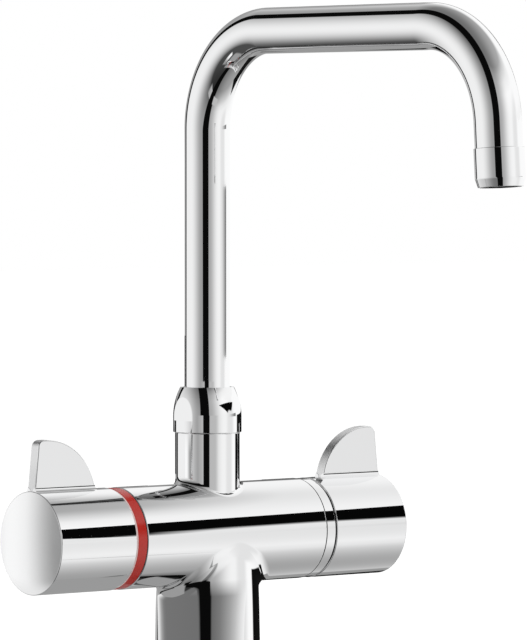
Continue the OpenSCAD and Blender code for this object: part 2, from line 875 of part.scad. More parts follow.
module lever_handle(side) {
    color(chrome) {
        difference() {
            on_side(side) handle_outside();
            along_bar(side, handle_start - bite)
                cylinder(r = handle_bore_r, h = handle_floor - handle_start + bite);
            along_bar(side, grub_d) rotate([0, 90, 0])
                cylinder(r = grub_hole_r, h = bar_r + bite, $fn = 32);
        }
        along_bar(side, boss_d) difference() {
            cylinder(r = boss_r, h = handle_floor - boss_d + bite);
            difference() {
                translate([0, 0, -bite])
                    cylinder(r = spindle_r + shaft_gap, h = spindle_end - boss_d + 2 * bite);
                translate([spindle_flat + shaft_gap, -spindle_d, spindle_end - boss_d - flat_len])
                    cube([spindle_d, 2 * spindle_d, flat_len + 2 * bite]);
            }
            translate([0, 0, grub_d - boss_d]) rotate([0, 90, 0])
                cylinder(r = grub_r, h = boss_r + bite, $fn = 32);
        }
        along_bar(side, rib_d) translate([rib_in_r, -rib_w / 2, 0])
            cube([handle_bore_r + bite - rib_in_r, rib_w, rib_len]);
    }
}

module temperature_handle() {
    lever_handle(-1);
}

module flow_handle() {
    lever_handle(1);
}

module grub_screw(side) {
    color(steel) along_bar(side, grub_d) translate([spindle_flat, 0, 0]) rotate([0, 90, 0])
        difference() {
            cylinder(r = grub_r - shaft_gap, h = grub_len, $fn = 32);
            translate([0, 0, grub_len - 2]) cylinder(r = 1.1, h = 2 + bite, $fn = 6);
        }
}

module temperature_grub_screw() {
    grub_screw(-1);
}

module flow_grub_screw() {
    grub_screw(1);
}

// Ceramic headwork

module headwork_seal() {
    color(rubber) along_bar(1, headwork_cavity_d)
        tube(disc_r, disc_r - disc_rim + fit_gap, headwork_seal_t);
}

// Two lugs hold the fixed disc from turning; gap widens them for the slots
module disc_lugs(gap, h) {
    reach = disc_r + disc_lug_h + gap;
    translate([-disc_lug_w / 2 - gap, -reach, 0]) cube([disc_lug_w + 2 * gap, 2 * reach, h]);
}

// A tongue across the driver turns the moving disc; gap widens it for the disc's slot
module tongue(gap, h) {
    intersection() {
        cylinder(r = disc_r + bite, h = h);
        translate([-disc_r - gap, -tongue_w / 2 - gap, 0])
            cube([2 * (disc_r + gap), tongue_w + 2 * gap, h]);
    }
}

module headwork_body() {
    color(brass) difference() {
        union() {
            along_bar(1, headwork_start) cylinder(r = headwork_r, h = bar_half - headwork_start);
            along_bar(1, thread_d) cylinder(r = headwork_thread_r, h = bar_half - thread_d);
            along_bar(1, bar_half) intersection() {
                cylinder(r = collar_r, h = stop_face_d - bar_half);
                translate([-bar_r, -spanner_across / 2, 0]) cube([bar_d, spanner_across, ring_w]);
            }
        }
        along_bar(1, headwork_start - bite)
            cylinder(r = headwork_bore_r, h = headwork_front_d - headwork_start + bite);
        along_bar(1, headwork_start - bite)
            disc_lugs(fit_gap, fixed_disc_d + disc_t - headwork_start + bite);
        along_bar(1, stop_face_d - lug_h - fit_gap)
            lug_slots(lug_w + 2 * fit_gap, bite + lug_h, cartridge_nut_bore_r - bite, bar_r);
        along_bar(1, headwork_front_d - bite)
            cylinder(r = spindle_r + shaft_gap, h = stop_face_d - headwork_front_d + 2 * bite);
        for (k = [0:window_count - 1])
            along_bar(1, window_d) rotate([0, 0, 45 + k * 360 / window_count])
                rotate([0, 90, 0]) cylinder(r = window_r, h = headwork_r + bite, $fn = 32);
    }
}

// Two opposite windows in a disc, turned by an angle
module disc_windows(turn, h) {
    reach = disc_r - disc_rim - disc_window_in;
    for (a = [0, 180])
        rotate([0, 0, a + turn - disc_window_angle / 2])
            rotate_extrude(angle = disc_window_angle)
                translate([disc_window_in, 0]) square([reach, h]);
}

module fixed_disc() {
    color(ceramic) along_bar(1, fixed_disc_d) difference() {
        union() {
            cylinder(r = disc_r, h = disc_t);
            disc_lugs(0, disc_t);
        }
        translate([0, 0, -bite]) disc_windows(0, disc_t + 2 * bite);
    }
}

module moving_disc() {
    color(ceramic) along_bar(1, moving_disc_d) difference() {
        cylinder(r = disc_r, h = disc_t);
        translate([0, 0, -bite]) disc_windows(90, disc_t + 2 * bite);
        translate([0, 0, disc_t - tongue_h]) tongue(fit_gap, tongue_h + bite);
    }
}

module flow_spindle() {
    color(brass) difference() {
        union() {
            along_bar(1, driver_d) cylinder(r = disc_r - turn_gap, h = driver_t);
            along_bar(1, driver_d - tongue_h)
                intersection() {
                    tongue(0, tongue_h + bite);
                    cylinder(r = disc_r - turn_gap, h = tongue_h + bite);
                }
            along_bar(1, driver_d + driver_t - bite) spindle_shaft(driver_d + driver_t - bite);
        }
        along_bar(1, driver_d - bite) disc_windows(90, driver_t + bite);
        along_bar(1, flow_seal_d) spindle_groove();
    }
}

module flow_o_ring() {
    color(rubber) along_bar(1, flow_seal_d) spindle_o_ring();
}

// Spout nut, bush and tail

module spout_nut() {
    taper_h = nut_height - nut_band;
    taper_in = (nut_d - nut_top_d) / 2;
    ogive_r = (taper_in ^ 2 + taper_h ^ 2) / (2 * taper_in);
    sweep = asin(taper_h / ogive_r);
    outline = concat(
        [[nut_bore_r, 0], [nut_d / 2 - edge, 0], [nut_d / 2, edge]],
        arc([nut_d / 2 - ogive_r, nut_band], ogive_r, 0, sweep, 10),
        [[nut_hole_r, nut_height], [nut_hole_r, nut_shoulder_z - neck_height],
         [nut_bore_r, nut_shoulder_z - neck_height]]
    );
    color(chrome) above_bar(neck_height) difference() {
        rotate_extrude() polygon(outline);
        for (side = [-1, 1])
            translate([side * (nut_across / 2 + nut_d / 2), 0, nut_flat_rise + nut_height / 2])
                cube([nut_d, nut_d + bite, nut_height], center = true);
    }
}

module slip_bush() {
    color(white) above_bar(bush_z) tube(nut_bore_r - fit_gap, tube_r + shaft_gap, bush_t);
}

module spout_tail() {
    color(brass) above_bar(0) difference() {
        union() {
            translate([0, 0, tail_foot]) cylinder(r = tail_r, h = tail_flange_z - tail_foot + bite);
            translate([0, 0, tail_flange_z]) cylinder(r = tail_flange_r, h = tail_flange_t);
            translate([0, 0, tail_flange_z + tail_flange_t - bite])
                cylinder(r = tube_bore_r, h = tail_plug_len + bite);
        }
        translate([0, 0, tail_foot - bite]) cylinder(r = tail_bore_r, h = 2 * neck_height);
        for (place = tail_seal_places)
            translate([0, 0, place])
                groove(tail_groove_r, tail_r + bite, 2 * tail_seal_wire_r + fit_gap);
    }
}

module spout_seals() {
    color(rubber) for (place = tail_seal_places)
        above_bar(place) torus(tail_seal_ring_r, tail_seal_wire_r);
}

// Spout tube: riser, bend, level run, bend and outlet leg, each drawn at a given radius

module bend(r, turn) {
    rotate_extrude(angle = turn) translate([bend_r, 0]) circle(r = r);
}

// Frame of the outlet bend: x starts upwards from the bend's centre and turns outwards
module at_outlet_bend() {
    above_bar(bend_start) translate([0, -bend_r - spout_run, 0]) rotate([0, -90, 180]) children();
}

// Frame of the outlet leg: z runs up the leg's axis from the given height over the lip
module at_outlet(z) {
    at_outlet_bend() rotate([0, 0, outlet_turn]) translate([bend_r, 0, 0]) rotate([90, 0, 0])
        translate([0, 0, z - nozzle_len - outlet_leg]) children();
}

module spout_path(r) {
    above_bar(riser_foot) cylinder(r = r, h = bend_start - riser_foot);
    above_bar(bend_start) translate([0, -bend_r, 0]) rotate([90, 0, 90]) bend(r, 90);
    above_bar(spout_rise) translate([0, -bend_r, 0]) rotate([90, 0, 0])
        cylinder(r = r, h = spout_run);
    at_outlet_bend() bend(r, outlet_turn);
    at_outlet(nozzle_len) cylinder(r = r - leg_step, h = outlet_leg + bite);
}

module spout_tube() {
    color(chrome) difference() {
        spout_path(tube_r);
        spout_path(tube_bore_r);
    }
}

// Outlet

module outlet_nozzle() {
    outline = [
        [mouth_r, 0], [nozzle_lip_r, 0], [nozzle_r, nozzle_taper],
        [nozzle_r, nozzle_len], [nozzle_plug_r, nozzle_len],
        [nozzle_plug_r, nozzle_len + nozzle_plug_len], [nozzle_bore_r, nozzle_len + nozzle_plug_len],
        [nozzle_bore_r, pocket_top_z], [pocket_r, pocket_top_z],
        [pocket_r, mouth_depth], [mouth_r, mouth_depth]
    ];
    color(chrome) at_outlet(0) rotate_extrude() polygon(outline);
}

module straightener_seal() {
    color(rubber) at_outlet(mouth_depth + straightener_t)
        tube(straightener_r, straightener_r - 2.5, seal_t);
}

module flow_straightener() {
    hub_r = 1.6;
    vane_t = 0.7;
    rim_w = 1.3;
    color(grey) at_outlet(mouth_depth) {
        tube(straightener_r, straightener_r - rim_w, straightener_t);
        cylinder(r = hub_r, h = straightener_t, $fn = 24);
        for (k = [0:vane_count - 1]) rotate([0, 0, k * 360 / vane_count])
            translate([0, -vane_t / 2, 0])
                cube([straightener_r - rim_w / 2, vane_t, straightener_t]);
    }
}

mixer_body();
base_gasket();
fixing_stud();
rubber_washer();
clamp_washer();
fixing_nut();
inlet_filters();
check_valves();
cartridge_sleeve();
cartridge_seals();
return_spring();
regulating_shuttle();
wax_element();
drive_plunger();
temperature_spindle();
temperature_o_ring();
cartridge_cap();
cartridge_nut();
temperature_stop_ring();
temperature_ring();
temperature_handle();
temperature_grub_screw();
headwork_seal();
headwork_body();
fixed_disc();
moving_disc();
flow_spindle();
flow_o_ring();
flow_stop_ring();
flow_ring();
flow_handle();
flow_grub_screw();
spout_nut();
slip_bush();
spout_tail();
spout_seals();
spout_tube();
outlet_nozzle();
straightener_seal();
flow_straightener();
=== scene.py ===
"""Looks of a thermostatic kitchen mixer tap with two turning handles and a square-bend spout.

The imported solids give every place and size. The chrome that shows is built again here as
smooth exact surfaces, the other solids keep their shape and get a finish, and a small
photographic studio of soft light and grey cards gives the metal something to mirror.
"""

import json
import logging
import math
from dataclasses import dataclass
from enum import Enum
from typing import Iterable, Sequence

import bmesh
import bpy
import numpy as np
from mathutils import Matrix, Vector


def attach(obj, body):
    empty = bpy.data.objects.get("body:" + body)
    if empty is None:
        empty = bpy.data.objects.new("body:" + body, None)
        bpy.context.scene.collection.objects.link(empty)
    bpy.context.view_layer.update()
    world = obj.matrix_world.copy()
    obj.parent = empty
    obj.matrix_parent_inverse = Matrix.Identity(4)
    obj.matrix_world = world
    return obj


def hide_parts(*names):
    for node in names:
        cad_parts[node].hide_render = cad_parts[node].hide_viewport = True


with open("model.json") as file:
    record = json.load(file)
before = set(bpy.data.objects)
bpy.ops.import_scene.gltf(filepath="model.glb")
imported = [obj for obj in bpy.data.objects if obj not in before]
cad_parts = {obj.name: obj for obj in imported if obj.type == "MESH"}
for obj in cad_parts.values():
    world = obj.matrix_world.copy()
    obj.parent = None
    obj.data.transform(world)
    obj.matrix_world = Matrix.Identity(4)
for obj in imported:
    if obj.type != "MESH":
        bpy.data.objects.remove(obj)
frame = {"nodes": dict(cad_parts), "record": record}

Array = np.ndarray
Stops = tuple[tuple[float, float], ...]
MM = 0.001
GUARD = 0.03
EDGE = 0.0001
CHART = "chart"
log = logging.getLogger("tap")


# Surfaces

def grid_quads(rows: int, cols: int, wrap_rows: bool, wrap_cols: bool) -> Array:
    """Quads over a grid of points kept row after row.

    A corner's index is its row times cols plus its column, and each quad joins a point to
    the next one along the row, the one beyond in the next row, and the one above, taken
    round the end where the grid wraps.

    Args:
        rows: Number of rows of points.
        cols: Number of points in each row.
        wrap_rows: Whether the last row joins the first.
        wrap_cols: Whether the last column joins the first.

    Returns:
        An array with four corner indices for each quad.
    """
    i, j = np.meshgrid(np.arange(rows if wrap_rows else rows - 1),
                       np.arange(cols if wrap_cols else cols - 1), indexing="ij")
    i2, j2 = (i + 1) % rows, (j + 1) % cols
    quads = np.stack([i * cols + j, i * cols + j2, i2 * cols + j2, i2 * cols + j], axis=-1)
    return quads.reshape(-1, 4)


def softened(corners: Sequence[Sequence[float]], radii: Sequence[float],
             steps: int = 6) -> Array:
    """An outline whose corners are rounded by arcs.

    An arc of radius r touches both sides at r divided by the tangent of half the corner's
    angle, and its centre lies on the halving line at r divided by the sine of that half.
    A guard point lies just outside each end of an arc, so that the shading of a long side
    stays true up to its edge.

    Args:
        corners: Corner points of the open outline, in millimetres.
        radii: Rounding radius at each corner, 0 for a sharp one.
        steps: Number of chords in each arc.

    Returns:
        The outline's points, one row each.
    """
    points = np.asarray(corners, float)
    out = [points[:1]]
    for before, here, after, r in zip(points[:-2], points[1:-1], points[2:], radii[1:-1]):
        u = (before - here) / np.linalg.norm(before - here)
        v = (after - here) / np.linalg.norm(after - here)
        if r <= 0 or abs(u @ v) > 0.9999:
            out.append(here[None])
            continue
        half = math.acos(np.clip(u @ v, -1, 1)) / 2
        reach = r / math.tan(half)
        centre = here + (u + v) / np.linalg.norm(u + v) * r / math.sin(half)
        a, b = here + u * reach - centre, here + v * reach - centre
        sweep = math.pi - 2 * half
        t = np.linspace(0, 1, steps + 1)[:, None]
        bow = (np.sin((1 - t) * sweep) * a + np.sin(t * sweep) * b) / math.sin(sweep)
        out += [(here + u * (reach + GUARD))[None], centre + bow,
                (here + v * (reach + GUARD))[None]]
    out.append(points[-1:])
    return np.concatenate(out)


def arc(centre: Sequence[float], r: float, start: float, stop: float, steps: int) -> Array:
    """Points of a plane arc from one angle in degrees to another, in so many chords."""
    a = np.radians(np.linspace(start, stop, steps + 1))
    return np.asarray(centre, float) + r * np.stack([np.cos(a), np.sin(a)], axis=-1)


@dataclass(frozen=True)
class Axis:
    """A turning axis: its origin in millimetres, its direction and the direction of angle 0."""

    origin: tuple[float, float, float]
    along: tuple[float, float, float]
    zero: tuple[float, float, float]

    def place(self, r: Array, angle: Array, h: Array) -> Array:
        """Points given by their place round and along the axis.

        Args:
            r: Distances from the axis.
            angle: Angles round it.
            h: Distances along it from the origin.

        Returns:
            The points, in an array with one more dimension.
        """
        along, zero = np.asarray(self.along, float), np.asarray(self.zero, float)
        side = np.cross(along, zero)
        return (np.asarray(self.origin, float) + (r * np.cos(angle))[..., None] * zero
                + (r * np.sin(angle))[..., None] * side + h[..., None] * along)


def along_bar(z: float) -> Axis:
    """The axis along the bar at a height, with angle 0 upwards."""
    return Axis((0, 0, z), (1, 0, 0), (0, 0, 1))


def upright(y: float = 0.0, z: float = 0.0) -> Axis:
    """The upward axis from a point in the plane across the bar, with angle 0 to the right."""
    return Axis((0, y, z), (0, 0, 1), (1, 0, 0))


def turned(axis: Axis, outline: Array, segments: int = 192) -> Array:
    """A turned surface: each point of the outline, a radius and a height, goes round the axis.

    Args:
        axis: The axis that the outline turns round.
        outline: Rows of radius and distance along the axis.
        segments: Number of points round the axis.

    Returns:
        A grid of points, one row for each point of the outline.
    """
    angle = np.linspace(0, 2 * math.pi, segments, endpoint=False)
    r, a = np.meshgrid(outline[:, 0], angle, indexing="ij")
    h, _ = np.meshgrid(outline[:, 1], angle, indexing="ij")
    return axis.place(r, a, h)


def placed(name: str, data: bpy.types.ID) -> bpy.types.Object:
    """Puts a new object into the scene.

    Args:
        name: Name of the object.
        data: Its mesh, lamp or camera.

    Returns:
        The object, at the origin.
    """
    made = bpy.data.objects.new(name, data)
    bpy.context.scene.collection.objects.link(made)
    return made


class Shell:
    """Collects closed patches in millimetres and makes one mesh object of them."""

    def __init__(self) -> None:
        """Starts with nothing in the mesh."""
        self.points: list[Array] = []
        self.quads: list[Array] = []
        self.slots: list[Array] = []
        self.count = 0

    def patch(self, grid: Array, wrap_rows: bool = False,
              second_from: int | None = None) -> None:
        """Adds one grid of points whose columns go all the way round.

        Args:
            grid: The points by row and column.
            wrap_rows: Whether the last row joins the first.
            second_from: Row from which the faces take the second finish.
        """
        rows, cols = grid.shape[:2]
        quads = grid_quads(rows, cols, wrap_rows, True)
        slots = np.zeros(len(quads), int)
        if second_from is not None:
            slots[quads[:, 0] // cols >= second_from] = 1
        self.points.append(grid.reshape(-1, 3))
        self.quads.append(quads + self.count)
        self.slots.append(slots)
        self.count += rows * cols

    def finish(self, name: str, finishes: Sequence[bpy.types.Material],
               sharp: float) -> bpy.types.Object:
        """Joins the patches, closes seams and poles and turns every face outwards.

        Args:
            name: Name of the piece.
            finishes: Materials by finish number.
            sharp: Angle in degrees above which an edge is drawn sharp.

        Returns:
            The new object, at the origin.
        """
        mesh = bpy.data.meshes.new(name)
        mesh.from_pydata((np.concatenate(self.points) * MM).tolist(), [],
                         np.concatenate(self.quads).tolist())
        mesh.polygons.foreach_set("material_index", np.concatenate(self.slots).astype(np.int32))
        for finish in finishes:
            mesh.materials.append(finish)
        work = bmesh.new()
        work.from_mesh(mesh)
        bmesh.ops.remove_doubles(work, verts=work.verts, dist=2e-7)
        bmesh.ops.recalc_face_normals(work, faces=work.faces)
        work.to_mesh(mesh)
        work.free()
        mesh.shade_smooth()
        mesh.set_sharp_from_angle(angle=math.radians(sharp))
        return placed(name, mesh)


# Finishes

class NodeSketch:
    """A short hand for laying out a material's nodes."""

    def __init__(self, owner: bpy.types.ID) -> None:
        """Takes over a node tree and empties it.

        Args:
            owner: The material or world that the nodes belong to.
        """
        owner.use_nodes = True
        self.tree = owner.node_tree
        self.tree.nodes.clear()

    def add(self, kind: str, inputs: dict | None = None, **settings: object) -> bpy.types.Node:
        """Adds one node.

        Args:
            kind: The node's type.
            inputs: Values or output sockets by input name or number.
            settings: The node's own settings.

        Returns:
            The new node.
        """
        node = self.tree.nodes.new(kind)
        for key, value in settings.items():
            setattr(node, key, value)
        for key, value in (inputs or {}).items():
            socket = node.inputs[key]
            if isinstance(value, bpy.types.NodeSocket):
                self.tree.links.new(value, socket)
            else:
                socket.default_value = value
        return node

    def math(self, operation: str, a: object, b: object = 0.0) -> bpy.types.NodeSocket:
        """One Math node's output for two numbers or sockets."""
        return self.add("ShaderNodeMath", {0: a, 1: b}, operation=operation).outputs[0]

    def times(self, a: object, b: object) -> bpy.types.NodeSocket:
        """The product of two numbers or sockets."""
        return self.math("MULTIPLY", a, b)

    def minus(self, a: object, b: object) -> bpy.types.NodeSocket:
        """The first number or socket less the second."""
        return self.math("SUBTRACT", a, b)

    def ranged(self, value: object, lo: float, hi: float, to_lo: float, to_hi: float,
               smooth: bool = True) -> bpy.types.NodeSocket:
        """A value mapped from lo and hi to two others, held at the ends, eased if smooth."""
        return self.add("ShaderNodeMapRange", {0: value, 1: lo, 2: hi, 3: to_lo, 4: to_hi},
                        interpolation_type="SMOOTHSTEP" if smooth else "LINEAR").outputs[0]

    def blend(self, share: object, a: object, b: object) -> bpy.types.NodeSocket:
        """Number a where the share is 0, b where it is 1."""
        return self.add("ShaderNodeMix", {0: share, 2: a, 3: b}).outputs[0]

    def colours(self, share: object, a: object, b: object) -> bpy.types.NodeSocket:
        """Colour a where the share is 0, b where it is 1, each a socket or three numbers."""
        a, b = [(*side, 1) if isinstance(side, tuple) else side for side in (a, b)]
        return self.add("ShaderNodeMix", {0: share, 6: a, 7: b}, data_type="RGBA").outputs[2]

    def ramp(self, value: object, stops: Iterable[tuple[float, float]]) -> bpy.types.NodeSocket:
        """A grey ramp.

        Args:
            value: Number or socket from 0 to 1.
            stops: Places from 0 to 1, each with its grey level.

        Returns:
            The ramp's colour socket.
        """
        node = self.add("ShaderNodeValToRGB", {0: value})
        bar = node.color_ramp
        for number, (place, grey) in enumerate(sorted(stops)):
            stop = bar.elements[number] if number < 2 else bar.elements.new(place)
            stop.position = place
            stop.color = (grey, grey, grey, 1)
        return node.outputs[0]


class Texture(Enum):
    """How a finish's surface is worked."""

    POLISHED = "polished"
    SPUN = "spun"
    MOULDED = "moulded"
    CAST_RUBBER = "rubber"
    MACHINED = "machined"


@dataclass(frozen=True)
class Finish:
    """One finish: two close colours, a range of roughness and how the surface is worked."""

    name: str
    light: tuple[float, float, float]
    dark: tuple[float, float, float]
    smooth: float
    rough: float
    metal: float = 0.0
    texture: Texture = Texture.MOULDED
    grain: float = 900.0
    relief: float = 0.02
    coat: float = 0.0
    axis_z: float = 0.0
    # A paler tint beyond a distance along x: a painted highlight standing in for the reflection
    # on a bevel.
    painted_highlight_from: float = 0.0
    painted_highlight_tint: tuple[float, float, float] = (1.0, 1.0, 1.0)

    def material(self) -> bpy.types.Material:
        """The finish as a procedural material, made once.

        Returns:
            The material.
        """
        made = bpy.data.materials.get(self.name)
        if made:
            return made
        made = bpy.data.materials.new(self.name)
        sketch = NodeSketch(made)
        place = sketch.add("ShaderNodeTexCoord").outputs["Object"]
        mottle = sketch.add("ShaderNodeTexNoise", {"Vector": place, "Scale": self.grain / 12,
                                                   "Detail": 3.0}).outputs[0]
        height = self._height(sketch, place)
        colour = sketch.colours(mottle, self.dark, self.light)
        # Painted highlight: past the given distance along x the colour turns to the pale tint,
        # standing in for the reflection on the bevel.
        if self.painted_highlight_from:
            across = sketch.add("ShaderNodeSeparateXYZ", {0: place}).outputs[0]
            out = sketch.math("ABSOLUTE", across)
            share = sketch.ranged(out, self.painted_highlight_from - EDGE, self.painted_highlight_from + EDGE, 0, 1)
            colour = sketch.colours(share, colour, self.painted_highlight_tint)
        bump = sketch.add("ShaderNodeBump", {"Strength": 1.0, "Distance": self.relief * MM,
                                             "Height": height})
        shader = sketch.add("ShaderNodeBsdfPrincipled", {
            "Base Color": colour, "Metallic": self.metal, "Coat Weight": self.coat,
            "Coat Roughness": 0.05,
            "Roughness": sketch.ranged(mottle, 0.3, 0.7, self.smooth, self.rough),
            "Normal": bump.outputs[0]})
        sketch.add("ShaderNodeOutputMaterial", {0: shader.outputs[0]})
        return made

    def _height(self, sketch: NodeSketch, place: bpy.types.NodeSocket) -> bpy.types.NodeSocket:
        """The relief of the worked surface.

        Args:
            sketch: Where the nodes go.
            place: Object coordinates.

        Returns:
            A height socket.
        """
        if self.texture in (Texture.SPUN, Texture.MACHINED):
            centred = sketch.add("ShaderNodeMapping", {0: place, 1: (0, 0, -self.axis_z)})
            parts = sketch.add("ShaderNodeSeparateXYZ", {0: centred.outputs[0]})
            first = parts.outputs[1]
            second = parts.outputs[2] if self.texture is Texture.SPUN else parts.outputs[0]
            square = sketch.math("ADD", sketch.times(first, first),
                                 sketch.times(second, second))
            return sketch.math("SINE", sketch.times(sketch.math("SQRT", square),
                                                    self.grain * 7))
        detail = {Texture.POLISHED: 1.0, Texture.MOULDED: 4.0, Texture.CAST_RUBBER: 8.0}
        return sketch.add("ShaderNodeTexNoise", {
            "Vector": place, "Scale": self.grain,
            "Detail": detail.get(self.texture, 2.0)}).outputs[0]


CHROME = Finish("polished_chrome", (0.965, 0.967, 0.97), (0.95, 0.952, 0.956), 0.012, 0.03,
                metal=1.0, texture=Texture.POLISHED, grain=160.0, relief=0.0004)
SATIN = Finish("satin_chrome", (0.95, 0.952, 0.955), (0.93, 0.932, 0.936), 0.10, 0.14,
               metal=1.0, texture=Texture.SPUN, relief=0.00015, axis_z=0.085)
BRUSHED = Finish("brushed_chrome", (0.93, 0.932, 0.935), (0.90, 0.902, 0.906), 0.34, 0.42,
                 metal=1.0, texture=Texture.POLISHED, grain=700.0, relief=0.0003)
# The red ring's handle-side bevel gets a pale pink painted highlight, standing in for the white
# reflection there.
RED = Finish("red_lacquer", (0.52, 0.022, 0.012), (0.43, 0.014, 0.008), 0.2, 0.3,
             grain=700.0, relief=0.004, coat=0.1, painted_highlight_from=0.0606,
             painted_highlight_tint=(0.86, 0.66, 0.64))
BRASS = Finish("turned_brass", (0.80, 0.60, 0.29), (0.70, 0.50, 0.22), 0.18, 0.32,
               metal=1.0, texture=Texture.MACHINED, grain=500.0, relief=0.002)
STEEL = Finish("plated_steel", (0.62, 0.63, 0.64), (0.52, 0.53, 0.55), 0.22, 0.38,
               metal=1.0, texture=Texture.POLISHED, grain=1400.0, relief=0.004)
RUBBER = Finish("black_rubber", (0.035, 0.035, 0.037), (0.018, 0.018, 0.02), 0.55, 0.75,
                texture=Texture.CAST_RUBBER, grain=1500.0, relief=0.02)
# Painted shade: a dark finish on the walls of the seam groove, standing in for the shade in the
# narrow gap.
SEAM_SHADE = Finish("seam_shadow", (0.030, 0.030, 0.031), (0.015, 0.015, 0.016), 0.5, 0.6,
              relief=0.002)
WHITE = Finish("white_plastic", (0.80, 0.79, 0.76), (0.74, 0.73, 0.70), 0.3, 0.42,
               relief=0.006)
GREY = Finish("grey_plastic", (0.30, 0.31, 0.33), (0.24, 0.25, 0.27), 0.32, 0.46,
              relief=0.006)
CERAMIC = Finish("ground_ceramic", (0.86, 0.84, 0.80), (0.80, 0.78, 0.74), 0.12, 0.2,
                 grain=2500.0, relief=0.001)
SLOT_FINISH = {"chrome": CHROME, "brass": BRASS, "steel": STEEL, "rubber": RUBBER,
               "red_plastic": RED, "white_plastic": WHITE, "grey_plastic": GREY,
               "ceramic": CERAMIC}


def settle(shell: Shell, name: str, finishes: Sequence[Finish], body: str,
           node: str, sharp: float = 32.0) -> None:
    """Makes a piece with its finishes, ties it to its body and hides the solid that it stands
    for.

    Args:
        shell: The piece's surfaces.
        name: Name of the piece.
        finishes: Its finishes by number.
        body: Name of the body that carries it.
        node: Name of the solid that it stands for.
        sharp: Angle in degrees above which an edge is drawn sharp.
    """
    piece = shell.finish(name, [finish.material() for finish in finishes], sharp)
    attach(piece, body)
    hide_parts(node)
    log.info("%s: %d faces, rides on %s", piece.name, len(piece.data.polygons), body)


# Sub-assemblies, with sizes in millimetres

